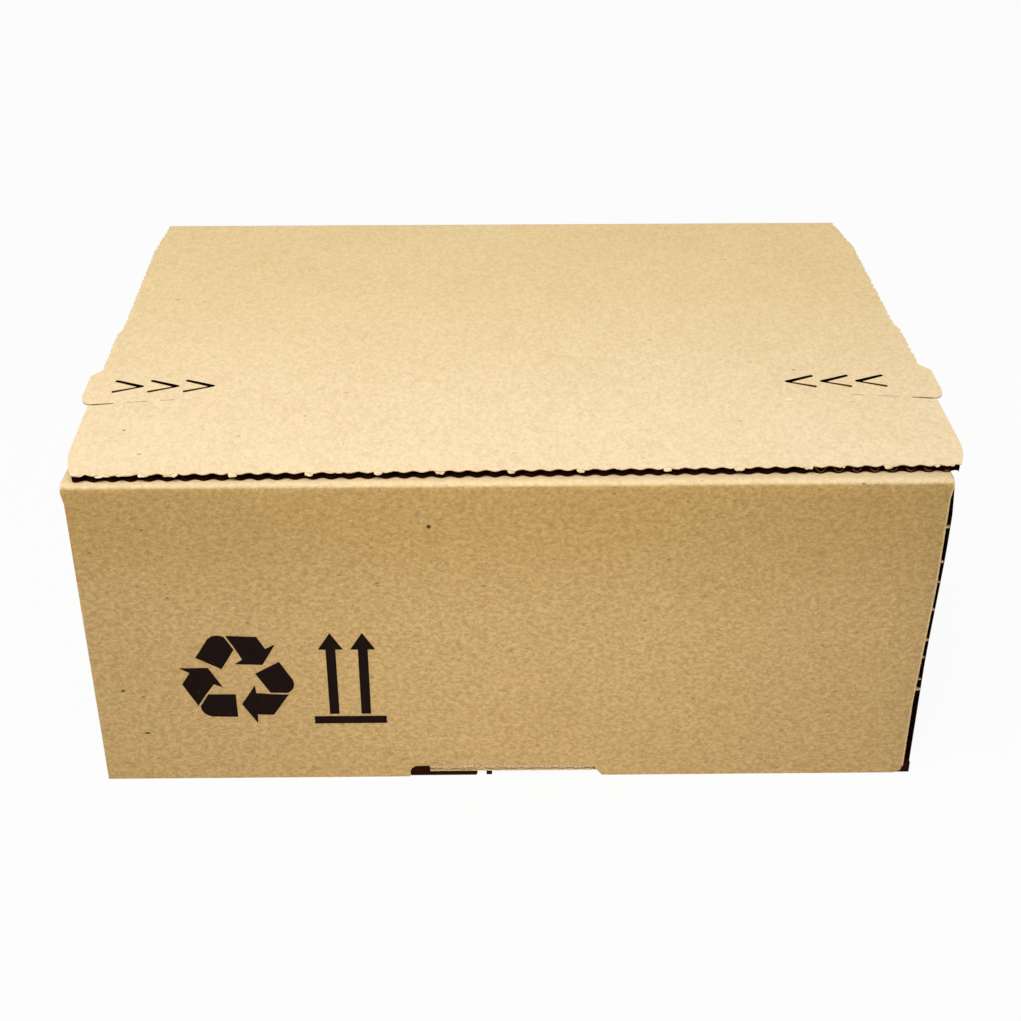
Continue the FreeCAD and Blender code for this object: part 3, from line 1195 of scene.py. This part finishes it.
@dataclass
class SideSheet:
    """One side wall with its two ears, and its fold to the bottom."""

    plan: BoxPlan
    finishes: Finishes
    side: int
    front_fold_is_slit: bool = False
    flare: float = 0.0
    flare_more_above: float = 0.0
    flare_run: float = 110 * MM
    flare_rise: Span = (45 * MM, 65 * MM)
    flare_fall: Span = (118 * MM, 24 * MM)
    flare_fall_share: float = 0.9
    ear_length: float = 66 * MM
    ear_corner: float = 9 * MM
    ear_floor_gap: float = 1 * MM
    flap_end_behind: float = 50 * MM
    wall_steps: int = 6
    tie_heights: tuple[float, ...] = tuple(z * MM for z in (111.9, 96.8, 88.4, 76.2, 61.6, 54, 43.3, 38.1))
    tie_width: float = 0.4 * MM
    tie_root: float = 0.5 * MM
    web_corners: tuple[Point, ...] = ((-5.0 * MM, 0.05 * MM), (2.85 * MM, 0.05 * MM), (2.85 * MM, 4.8 * MM),
                                     (-0.2 * MM, 4.8 * MM), (-1.2 * MM, 1.8 * MM), (-3.0 * MM, 0.35 * MM))
    web_setback: float = 0.3 * MM

    @property
    def name(self) -> str:
        """The side's name."""
        return "right" if self.side > 0 else "left"

    @property
    def inner(self) -> float:
        """Half of the box's inner width."""
        return self.plan.half_width - self.plan.cad_board

    @property
    def front(self) -> float:
        """The front end of the side wall."""
        return self.plan.front_y + 2 * self.plan.cad_board + self.plan.layer_gap

    @property
    def back(self) -> float:
        """The back end of the side wall."""
        return self.plan.back_y - 2 * self.plan.cad_board - self.plan.layer_gap

    @property
    def low_top(self) -> float:
        """The top of the side wall where the inner flap lies on it."""
        return self.plan.body_height - self.plan.cad_board - self.plan.layer_gap

    def build(self) -> list[bpy.types.Object]:
        """Build and dress the side's papers and its bottom fold, and return them."""
        pieces = []
        for layer, finish in self.finishes.papers.items():
            papers = [strip.sweep(layer) for strip in self._strips()]
            piece = join(papers, f"{self.name}_side_{layer.value}")
            smooth(piece)
            dress(piece, [finish, self.finishes.medium])
            # The side board's forward-facing cut ends get the dark medium paper: painted shade.
            mark_faces(piece, 1, lambda centre, normal: normal.y < -0.9 and abs(centre.x) > self.inner)
            if layer is Layer.OUTER:
                # The outer liner's inward face, seen only through the open flutes, gets it too: painted
                # shade in the flutes.
                mark_faces(piece, 1, lambda centre, normal: normal.x * self.side < -0.5)
            pieces.append(piece)
        pieces.append(self._bottom_fold())
        if self.front_fold_is_slit:
            pieces.append(self._ties())
        if self.flare > 0:
            for piece in pieces:
                self._lean_out(piece)
            pieces.append(self._corner_web())
        return pieces

    def _strips(self) -> list[Strip]:
        """Return the strips that the side is made of."""
        path = self._path()
        if not self.front_fold_is_slit:
            return [self._strip(self._ear_start(), Vector((0, 1, 0)), self._ear_limits(), path)]
        thick = self.plan.cad_board
        end = Vector((self.side * (self.inner + thick), self.front - thick, 0))
        first = Run(Vector((0, thick, 0)), thick, self.low_top)
        return [self._strip(self._ear_start(), Vector((0, 1, 0)), self._ear_limits(), path[:2]),
                self._strip(end, Vector((-self.side, 0, 0)), (thick, self.low_top), [first, *path[3:]])]

    def _ties(self) -> bpy.types.Object:
        """Return the small ties of paper left across the wall's open front end."""
        draw = random.Random(11)
        outer_y = self.front - self.plan.cad_board
        near = self.side * (self.inner - self.tie_root)
        bits = []
        for middle in self.tie_heights:
            low = middle - draw.uniform(0.25, 0.5) * MM
            far = near + self.side * draw.uniform(2.9, 3.5) * MM
            outline = [(near, outer_y - self.tie_width), (far, outer_y), (far, outer_y + self.tie_width),
                       (near, self.front)]
            height = draw.uniform(0.6, 1.1) * MM
            bit = plate("tie", outline, low + height, height)
            tilt(bit, Axis.X, near, -draw.uniform(-0.2, 0.35))
            bits.append(bit)
        return dress(join(bits, f"{self.name}_fold_ties"), [self.finishes.edge])

    def _corner_web(self) -> bpy.types.Object:
        """Return a dark block under the front wall's rounded corner: painted shade where the bottom's
        corner lies in shadow.
        """
        outline = [(self.side * (self.inner + across), height) for across, height in self.web_corners]
        near = self.plan.front_y + self.web_setback
        piece = upright(f"{self.name}_corner_web", outline[::self.side], near, self.front)
        return dress(piece, [self.finishes.medium])

    def _strip(self, start: Vector, inward: Vector, limits: tuple[float, float],
               path: Sequence[Run | Turn]) -> Strip:
        """Return a strip of the side's board."""
        return Strip(f"{self.name}_side", self.plan.board, Axis.Z, start, inward, *limits, path)

    def _ear_start(self) -> Vector:
        """Return where the front ear's free end stands."""
        return Vector((self.side * (self.inner - self.ear_length), self.front - self.plan.cad_board, 0))

    def _ear_limits(self) -> tuple[float, float]:
        """Return the heights of the front ear's free end."""
        low = self.plan.cad_board + self.ear_floor_gap + self.ear_corner
        return low, self.low_top - self.ear_corner

    def _path(self) -> list[Run | Turn]:
        """Return the way from the front ear's free end round to the back ear's."""
        plan, side, corner = self.plan, self.side, self.ear_corner
        top, floor = plan.body_height, plan.cad_board
        ear_floor = floor + self.ear_floor_gap
        step = plan.front_y + self.flap_end_behind + plan.layer_gap
        turn_axis = Vector((0, 0, side))
        along = Vector((side, 0, 0))
        rear = Vector((0, 1, 0))
        front_run = rear * ((step - self.front - 0.2 * MM) / self.wall_steps)
        rear_run = rear * ((self.back - step - 0.3 * MM) / self.wall_steps)
        return [
            Run(along * corner, ear_floor, self.low_top),
            Run(along * (self.ear_length - corner), ear_floor, self.low_top),
            Turn(Vector((side * self.inner, self.front, 0)), turn_axis),
            Run(rear * 0.2 * MM, floor, self.low_top),
            *[Run(front_run, floor, self.low_top) for _ in range(self.wall_steps)],
            Run(rear * 0.1 * MM, floor, top),
            *[Run(rear_run, floor, top) for _ in range(self.wall_steps)],
            Run(rear * 0.2 * MM, ear_floor, top),
            Turn(Vector((side * self.inner, self.back, 0)), turn_axis),
            Run(along * -(self.ear_length - corner), ear_floor, top),
            Run(along * -corner, ear_floor + corner, top - corner),
        ]

    def _bottom_fold(self) -> bpy.types.Object:
        """Return the quarter round of board between the bottom and the side wall."""
        thick, inner = self.plan.cad_board, self.inner
        deselect_all()
        bpy.ops.mesh.primitive_grid_add(x_subdivisions=1, y_subdivisions=2 * self.wall_steps, size=1)
        piece = settle(f"{self.name}_bottom_fold")
        front = self.front - (thick if self.front_fold_is_slit else 0)
        length = self.back - front
        with Editing(piece) as edit:
            edit.move(lambda vertex: Vector((self.side * inner, front + (vertex.co.y + 0.5) * length,
                                             0 if vertex.co.x < 0 else thick)))
            edit.select_all()
            bpy.ops.mesh.spin(steps=8, dupli=False, angle=-math.pi / 2 * self.side,
                              center=(self.side * inner, 0, thick), axis=(0, -1, 0))
            edit.close()
        smooth(piece)
        dress(piece, [self.finishes.wall, self.finishes.medium])
        # The fold's open ends get the dark medium paper: painted shade.
        mark_faces(piece, 1, lambda centre, normal: abs(normal.y) > 0.9)
        return piece

    def _lean_out(self, piece: bpy.types.Object) -> None:
        """Bend the front end of the side outwards, as the open fold lets it spring.

        Args:
            piece: One of the side's pieces.
        """
        thick = self.plan.cad_board

        def moved(vertex: bmesh.types.BMVert) -> Vector:
            """Move a vertex sideways, most at the front and in the upper half.

            Args:
                vertex: The vertex.

            Returns:
                Its new place.
            """
            spot = vertex.co
            rear = progress(spot.y, self.front, self.flare_run)
            above = progress(spot.z, *self.flare_rise)
            amount = self.flare + self.flare_more_above * above * above * (3 - 2 * above)
            amount *= 1 - progress(spot.z, *self.flare_fall) * self.flare_fall_share
            amount *= (1 - rear) ** 2 * min(spot.z / thick, 1)
            return spot + Vector((self.side * amount, 0, 0))

        with Editing(piece) as edit:
            edit.move(moved)


@dataclass
class Lid:
    """The lid with its tabs, cut arrows, tear line and waved front edge."""

    plan: BoxPlan
    finishes: Finishes
    front_setback: float = 4.0 * MM
    front_lean: float = 1.0 * MM
    drift: float = 3.3 * MM
    swing: float = 0.8 * MM
    width: float = 323 * MM
    rear_width: float = 320 * MM
    shoulder_rear: float = 207 * MM
    shoulder_front: float = 205 * MM
    step_behind: float = 118 * MM
    step_run: float = 4 * MM
    corner_run: float = 16 * MM
    corner_taper: float = 3.7 * MM
    corner_bulge: float = 1.3 * MM
    wave_height: float = 0.6 * MM
    wave_corners: int = 8
    tab_front: float = 56.4 * MM
    tab_side_length: float = 24 * MM
    tab_rear_run: float = 4.4 * MM
    tab_reach: float = 3.6 * MM
    tab_corner_across: float = 3.9 * MM
    tab_corner_behind: float = 7.5 * MM
    tab_crush: float = 2.6 * MM
    tear_width: float = 0.5 * MM
    tear_mouth: float = 1.0 * MM
    tear_length: float = 9.4 * MM
    tear_rise: float = 0.11
    dash_lengths: tuple[float, ...] = (7.7 * MM, 5.2 * MM)
    dash_spacing: float = 12.6 * MM
    dash_first: float = 14.2 * MM
    arrow_middle: float = 71.2 * MM
    arrow_length: float = 10.2 * MM
    arrow_spread: float = 9 * MM
    arrow_pitch: float = 13.7 * MM
    arrow_insets: Span = (7.65 * MM, 17.25 * MM)
    slit: float = 1.7 * MM
    tongue_drop: float = 0.3 * MM
    side_bump: float = 0.8 * MM
    side_bump_pitch: float = 4.6 * MM
    side_bump_corners: int = 6
    front_zone: float = 30 * MM
    cutter_reach: float = 1 * MM
    medium_recess: float = 0.6 * MM
    lit_flutes_from: float = 108 * MM
    bridges: tuple[float, ...] = tuple(
        x * MM for x in (-97.5, -70.6, -46.2, -24.3, 1.0, 25.6, 56.4, 81.9, 106.7, 135.1))
    bridge_width: float = 3.4 * MM
    bridge_reach: float = 1.0 * MM
    bridge_thickness: float = 0.6 * MM
    shred_thickness: float = 0.35 * MM
    shreds: tuple[Triple, ...] = tuple(
        (x * MM, width * MM, reach * MM) for x, width, reach in (
            (-152.0, 5.0, 0.5), (-143.5, 7.0, 0.9), (-136.0, 6.0, 0.7), (-129.0, 4.0, 1.2),
            (-119.5, 5.5, 1.0), (-60.0, 3.0, 0.5), (118.5, 3.0, 0.5), (152.5, 2.4, 0.6), (158.0, 2.0, 0.6)))
    bit_root: float = 0.4 * MM
    bit_raggedness: float = 0.6 * MM
    bit_shoulder: float = 0.5 * MM
    bit_corners: int = 6

    @property
    def half(self) -> float:
        """Half of the lid's width."""
        return self.width / 2

    @property
    def front_half(self) -> float:
        """Half of the waved front edge's width."""
        return self.half - self.corner_taper

    @property
    def hinge_behind(self) -> float:
        """The distance from the front face to the lid's fold."""
        return self.plan.back_y - self.plan.front_y - self.plan.cad_board

    def spot(self, across: float, behind: float) -> Point:
        """Give a point of the lid as it lies askew on the body.

        Args:
            across: The distance from the lid's middle line.
            behind: The distance behind the front face.

        Returns:
            The point's x and y.
        """
        share = (self.hinge_behind - behind) / self.hinge_behind
        at_front = 1 - progress(behind, self.front_setback, self.corner_run)
        askew = self.swing * share + self.front_lean * at_front
        return across + self.drift * share, self.plan.front_y + behind + askew * across / self.half

    def build(self) -> list[bpy.types.Object]:
        """Build and dress the lid's papers and the arrows' pressed tongues, and return them."""
        plan, board = self.plan, self.plan.board
        holes = join(self._hole_cutters(), "lid_holes")
        outer = plate("lid_outer_liner", self._outline(0), plan.lid_top, board.liner)
        edge_y = plan.front_y + self.front_setback + 2 * MM
        recessed = self._outline(self.medium_recess)
        inner = plate("lid_inner_liner", recessed, plan.lid_bottom + board.liner, board.liner)
        reach = self.cutter_reach
        blank = plate("lid_blank", recessed, plan.lid_top + reach, plan.cad_board + 2 * reach)
        medium = self._medium()
        cut(medium, blank, Cut.KEEP_INSIDE)
        for piece in (outer, inner, medium):
            cut(piece, holes, Cut.REMOVE)
        discard(holes, blank)
        smooth(medium)
        dress(outer, [self.finishes.lid, self.finishes.edge, self.finishes.medium])
        dress(inner, [self.finishes.inside, self.finishes.medium])
        dress(medium, [self.finishes.medium, self.finishes.painted_highlight_medium])
        mark_faces(outer, 1, lambda centre, normal: abs(normal.z) < 0.5)
        # Forward-facing cut faces of the outer liner behind the front edge get the dark medium paper:
        # painted shade in the slits.
        mark_faces(outer, 2, lambda centre, normal: normal.y < -0.4 and centre.y > edge_y + self.front_zone)
        # The inner liner's upper face and cut edges get the dark medium paper: painted shade under the top
        # liner.
        mark_faces(inner, 1, lambda centre, normal: normal.z > -0.5)
        # Flute ends on the right of the front edge get the paler medium paper: painted highlight.
        mark_faces(medium, 1, lambda centre, normal: normal.y < -0.6 and centre.y < edge_y
                   and centre.x > self.lit_flutes_from)
        return [outer, inner, medium, self._tongues(), self._torn_bits()]

    def _side(self, side: int, recess: float) -> list[Point]:
        """Return one side's outline from the fold to the front, as across and behind.

        Args:
            side: -1 for the left and 1 for the right.
            recess: How far the outline is drawn in.

        Returns:
            The points.
        """
        tab_rear = self.tab_front + self.tab_side_length
        crushed = self.tab_crush if recess > 0 else 0
        tab_half = self.half + self.tab_reach - crushed
        rear = self.plan.back_width / 2 - (self.plan.rear_nip if side > 0 else 0)
        rear_half = self.rear_width / 2
        points = self._bumpy((rear, self.hinge_behind), (rear_half, self.shoulder_rear))
        step = self.step_behind + self.step_run
        points += self._bumpy((rear_half, self.shoulder_front), (rear_half, step))
        points += self._bumpy((self.half, self.step_behind), (self.half, tab_rear + self.tab_rear_run))
        points.append((tab_half, tab_rear))
        wide, deep = self.tab_corner_across, self.tab_corner_behind
        radii = (wide, crushed / 2 - deep)
        points += arc((tab_half - wide, self.tab_front + deep), radii, 0, math.pi / 2, 12)
        cut_end = self.half - self.tear_length
        rise = self.tear_length * self.tear_rise
        points.append((cut_end, self.tab_front + rise))
        points.append((cut_end, self.tab_front + rise - self.tear_width))
        points.append((self.half, self.tab_front - self.tear_mouth))
        corner = self.front_setback + self.corner_run
        for share in (step / 8 for step in range(9)):
            bulge = self.corner_bulge * math.sin(math.pi * share) / 2
            across = self.half - self.corner_taper * share + bulge
            points.append((across, corner - self.corner_run * share))
        return [(side * (across - recess), behind) for across, behind in points]

    def _bumpy(self, start: Point, end: Point) -> list[Point]:
        """Return a stretch of side edge with the small bumps that its cut left.

        Args:
            start: Its rear end, as across and behind.
            end: Its front end.

        Returns:
            The points, drawn in by up to the height of a bump.
        """
        corners = self.side_bump_corners
        count = round((start[1] - end[1]) / self.side_bump_pitch) * corners
        points = []
        for step in range(count + 1):
            share = step / count
            uneven = 0.6 + 0.4 * math.sin(0.31 * step + 40 * start[0] / MM)
            wave = (0.5 - 0.5 * math.cos(2 * math.pi * step / corners)) * uneven
            points.append((start[0] + (end[0] - start[0]) * share - self.side_bump * wave,
                           start[1] + (end[1] - start[1]) * share))
        return points

    def _front(self, recess: float) -> list[Point]:
        """Return the waved front edge from right to left, as across and behind.

        Args:
            recess: How far the edge is set back.

        Returns:
            The points.
        """
        waves = round(2 * self.front_half / self.plan.board.pitch)
        count = waves * self.wave_corners
        points = []
        for step in range(1, count):
            lift = self.wave_height * math.sin(2 * math.pi * step / self.wave_corners)
            across = self.front_half - 2 * self.front_half * step / count
            points.append((across, self.front_setback + lift + recess))
        return points

    def _outline(self, recess: float) -> list[Point]:
        """Return the lid's outline from above, counter-clockwise, as x and y.

        Args:
            recess: How far the edges are drawn in.

        Returns:
            The corners.
        """
        right = self._side(1, recess)
        left = self._side(-1, recess)
        points = right + self._front(recess) + left[::-1]
        return [self.spot(*point) for point in points[::-1]]

    def _medium(self) -> bpy.types.Object:
        """Return the lid's fluted paper, as long and wide as the lid."""
        plan = self.plan
        half = self.half + self.tab_reach + 2 * MM
        length = self.hinge_behind - self.front_setback + 4 * MM
        start = Vector((0, plan.back_y - plan.cad_board - 0.05 * MM, plan.lid_top))
        run = Run(Vector((0, -length, 0)), -half, half)
        strip = Strip("lid", plan.board, Axis.X, start, Vector((0, 0, -1)), -half, half, [run])
        return strip.sweep(Layer.MEDIUM)

    def _arrow(self, side: int, root: float, whole: bool) -> list[Point]:
        """Return one arrow head's outline, as x and y.

        Args:
            side: The side of the lid that the head is cut in.
            root: Its root's distance across.
            whole: Whether the slits count, or only the tongue between them.

        Returns:
            The corners.
        """
        spread, length, radius = self.arrow_spread / 2, self.arrow_length, self.slit / 2
        slope = math.atan2(spread, length)
        back, rise = radius * math.sin(slope), spread - radius * math.cos(slope)
        if not whole:
            corners = [(-back, rise), (length - radius / math.sin(slope), 0), (-back, -rise)]
        else:
            corners = []
            quarter = math.pi / 2
            for middle, start, end in (((0, spread), quarter - slope, 3 * quarter - slope),
                                       ((0, -spread), quarter + slope, 3 * quarter + slope),
                                       ((length, 0), slope - quarter, quarter - slope)):
                corners += arc(middle, (radius, radius), start, end)
        return [self.spot(side * (root - x), self.arrow_middle + y) for x, y in corners]

    def _arrow_roots(self) -> list[tuple[int, float]]:
        """Return each arrow head's side and root."""
        return [(side, self.half - inset - k * self.arrow_pitch)
                for side, inset in zip((-1, 1), self.arrow_insets) for k in range(3)]

    def _hole_cutters(self) -> list[bpy.types.Object]:
        """Return the cutters of the arrow heads and the tear line's dashes."""
        top, depth = self.plan.lid_top + self.cutter_reach, self.plan.cad_board + 2 * self.cutter_reach
        cutters = [plate(f"arrow_{n}", self._arrow(side, root, True), top, depth)
                   for n, (side, root) in enumerate(self._arrow_roots())]
        for side in (-1, 1):
            for k, length in enumerate(self.dash_lengths):
                near = self.half - self.dash_first - k * self.dash_spacing
                far = near - length
                near_y = self.tab_front + (self.half - near) * self.tear_rise
                far_y = self.tab_front + (self.half - far) * self.tear_rise
                corners = [(side * near, near_y), (side * near, near_y - self.tear_width / 2),
                           (side * far, far_y - self.tear_width / 2), (side * far, far_y)]
                cutters.append(plate(f"dash_{side}_{k}", [self.spot(*c) for c in corners], top, depth))
        return cutters

    def _tongues(self) -> bpy.types.Object:
        """Return the boards inside the arrow heads, pressed down a little at their tips."""
        plan = self.plan
        pieces = []
        for side, root in self._arrow_roots():
            corners = self._arrow(side, root, False)
            piece = plate("tongue", corners, plan.lid_top, plan.cad_board * 0.8)
            tilt(piece, Axis.X, corners[0][0], self.tongue_drop / self.arrow_length)
            pieces.append(piece)
        piece = join(pieces, "arrow_tongues")
        # The tongues' tops share the lid's paper with its painted light.
        dress(piece, [self.finishes.lid, self.finishes.cut])
        mark_faces(piece, 1, lambda centre, normal: normal.z < 0.5)
        return piece

    def _torn_bits(self) -> bpy.types.Object:
        """Return the stubs of the bridges and the shreds that the cut left on the front edge."""
        draw = random.Random(7)
        bits = [self._torn_bit(draw, x, self.bridge_width * draw.uniform(0.85, 1.15), self.bridge_reach,
                               self.bridge_thickness) for x in self.bridges]
        bits += [self._torn_bit(draw, *shred, self.shred_thickness) for shred in self.shreds]
        piece = join(bits, "torn_edge_bits")
        # The bits share the lid's paper with its painted light.
        return dress(piece, [self.finishes.lid])

    def _torn_bit(self, draw: random.Random, x: float, width: float, reach: float,
                  thickness: float) -> bpy.types.Object:
        """Return one ragged bit of paper that hangs over the front edge.

        Args:
            draw: Where its raggedness comes from.
            x: Its middle.
            width: Its width.
            reach: How far it stands out of the edge.
            thickness: Its thickness.

        Returns:
            The bit.
        """
        edge_y = self.plan.front_y + self.front_setback + (self.swing + self.front_lean) * x / self.half
        root_y = edge_y + self.wave_height + self.bit_root
        near_y = edge_y - reach
        corners = [(x - width / 2, root_y)]
        last = self.bit_corners - 1
        for step in range(self.bit_corners):
            ragged = draw.uniform(0, self.bit_raggedness) + (self.bit_shoulder if step in (0, last) else 0)
            across = x - width * (0.5 - step / last) * draw.uniform(0.85, 1.0)
            corners.append((across, near_y + ragged))
        corners.append((x + width / 2, root_y))
        piece = plate("bit", corners, self.plan.lid_top, thickness)
        tilt(piece, Axis.Y, root_y, draw.uniform(0.15, 0.35))
        return piece


@dataclass
class CarriedOver:
    """The pieces that keep their construction shape and only get a finish."""

    finishes: Finishes

    def build(self) -> list[bpy.types.Object]:
        """Dress the print, the glue and the tape, and return them."""
        groups = {"print": self.finishes.ink, "glue": self.finishes.glue, "adhesive": self.finishes.glue,
                  "tape": self.finishes.tape}
        pieces = []
        for name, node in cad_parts.items():
            for word, finish in groups.items():
                if word in name:
                    node.data.materials.clear()
                    node.data.materials.append(finish)
                    pieces.append(node)
        return pieces


@dataclass(frozen=True)
class Softbox:
    """A square lamp that faces a target. A spread of 0 leaves it at the widest."""

    name: str
    place: Triple
    target: Triple
    size: float
    power: float
    spread: float = 0.0
    colour: Colour = (1, 0.98, 0.95)

    def build(self) -> bpy.types.Object:
        """Build and return the lamp."""
        deselect_all()
        bpy.ops.object.light_add(type="AREA", location=self.place)
        lamp = bpy.context.object
        lamp.name = self.name
        lamp.data.size = self.size
        lamp.data.energy = self.power
        lamp.data.color = self.colour
        if self.spread > 0:
            lamp.data.spread = self.spread
        way = Vector(self.target) - Vector(self.place)
        lamp.rotation_euler = way.to_track_quat("-Z", "Y").to_euler()
        return lamp


@dataclass
class Studio:
    """The floor, the lamps and the camera."""

    focal_px: float = 1664.5
    frame_px: float = 1021
    sensor: float = 36.0
    eye: Vector = field(default_factory=lambda: Vector((-5.1, -625.9, 430.8)) * MM)
    pitch: float = math.radians(31.34)
    yaw: float = math.radians(0.64)
    roll: float = math.radians(-0.06)
    floor_size: float = 8.0
    floor_drop: float = 0.02 * MM
    floor_colour: Colour = (0.7, 0.7, 0.7)
    floor_glow: float = 0.94
    room_colour: Colour = (1, 0.99, 0.97)
    room_strength: float = 0.52
    lamps: tuple[Softbox, ...] = (
        Softbox("top_softbox", (-0.2, -0.55, 0.95), (0, -0.1, 0.1), 0.5, 6.9),
        Softbox("front_softbox", (0.02, -0.95, 0.25), (0.01, -0.12, 0.045), 0.12, 0.036, math.radians(26)))

    def build(self) -> list[bpy.types.Object]:
        """Build the floor, the lamps and the camera, and return them."""
        floor, camera = self._floor(), self._camera()
        self._light_room()
        return [floor, camera, *(lamp.build() for lamp in self.lamps)]

    def _floor(self) -> bpy.types.Object:
        """Return the plain pale floor."""
        deselect_all()
        bpy.ops.mesh.primitive_plane_add(size=self.floor_size)
        floor = settle("studio_floor")
        with Editing(floor) as edit:
            edit.select_all()
            bpy.ops.mesh.subdivide(number_cuts=3)
            edit.move(lambda vertex: vertex.co - Vector((0, 0, self.floor_drop)))
        sheet = NodeSheet("floor_paint")
        floor.data.materials.append(sheet.finish((*self.floor_colour, 1), 0.9, 0.1))
        glow = sheet.add("ShaderNodeEmission", {"Color": (1, 1, 1, 1), "Strength": 1.0})
        mixed = sheet.add("ShaderNodeMixShader", {0: sheet.seen(self.floor_glow),
                                                  1: sheet.shader.outputs[0], 2: glow.outputs[0]})
        sheet.feed(sheet.tree.nodes["Material Output"].inputs["Surface"], mixed.outputs[0])
        return floor

    def _camera(self) -> bpy.types.Object:
        """Return the camera, turned as the photograph was taken."""
        deselect_all()
        bpy.ops.object.camera_add(location=self.eye)
        camera = bpy.context.object
        camera.name = "photo_camera"
        camera.data.sensor_width = self.sensor
        camera.data.lens = self.sensor * self.focal_px / self.frame_px
        level = Vector((math.sin(self.yaw), math.cos(self.yaw), 0))
        right = Vector((math.cos(self.yaw), -math.sin(self.yaw), 0))
        forward = level * math.cos(self.pitch) - Vector((0, 0, math.sin(self.pitch)))
        up = right.cross(forward)
        turned = right * math.cos(self.roll) + up * math.sin(self.roll)
        up = up * math.cos(self.roll) - right * math.sin(self.roll)
        camera.rotation_euler = Matrix((turned, up, -forward)).transposed().to_euler()
        bpy.context.scene.camera = camera
        return camera

    def _light_room(self) -> None:
        """Set the even light of the room, and the white that the camera sees instead."""
        world = bpy.context.scene.world or bpy.data.worlds.new("room")
        bpy.context.scene.world = world
        world.use_nodes = True
        nodes = Nodes(world.node_tree)
        room = nodes.tree.nodes["Background"]
        nodes.feed(room.inputs["Color"], (*self.room_colour, 1))
        nodes.feed(room.inputs["Strength"], self.room_strength)
        backdrop = nodes.add("ShaderNodeBackground", {"Strength": 1.0})
        values = {0: nodes.seen(1.0), 1: room.outputs[0], 2: backdrop.outputs[0]}
        mixed = nodes.add("ShaderNodeMixShader", values)
        nodes.feed(nodes.tree.nodes["World Output"].inputs["Surface"], mixed.outputs[0])


def main() -> None:
    """Build the box and its studio, and log each piece."""
    logging.basicConfig(level=logging.INFO, format="%(message)s")
    bpy.context.scene.view_settings.view_transform = "Standard"
    low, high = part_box(BOARD_NODE)
    plan = BoxPlan(low, high)
    finishes = Finishes()
    right_side = SideSheet(plan, finishes, 1, front_fold_is_slit=True, flare=0.4 * MM,
                           flare_more_above=1.5 * MM)
    sections = [Studio(), CarriedOver(finishes), WrapSheet(plan, finishes), LockTongue(plan, finishes),
                SideSheet(plan, finishes, -1), right_side, Lid(plan, finishes)]
    for section in sections:
        built = section.build()
        for piece in built if isinstance(built, list) else [built]:
            faces = len(piece.data.polygons) if piece.type == "MESH" else 0
            log.info("%s: %s, %d faces", type(section).__name__, piece.name, faces)


if __name__ == "__main__":
    main()
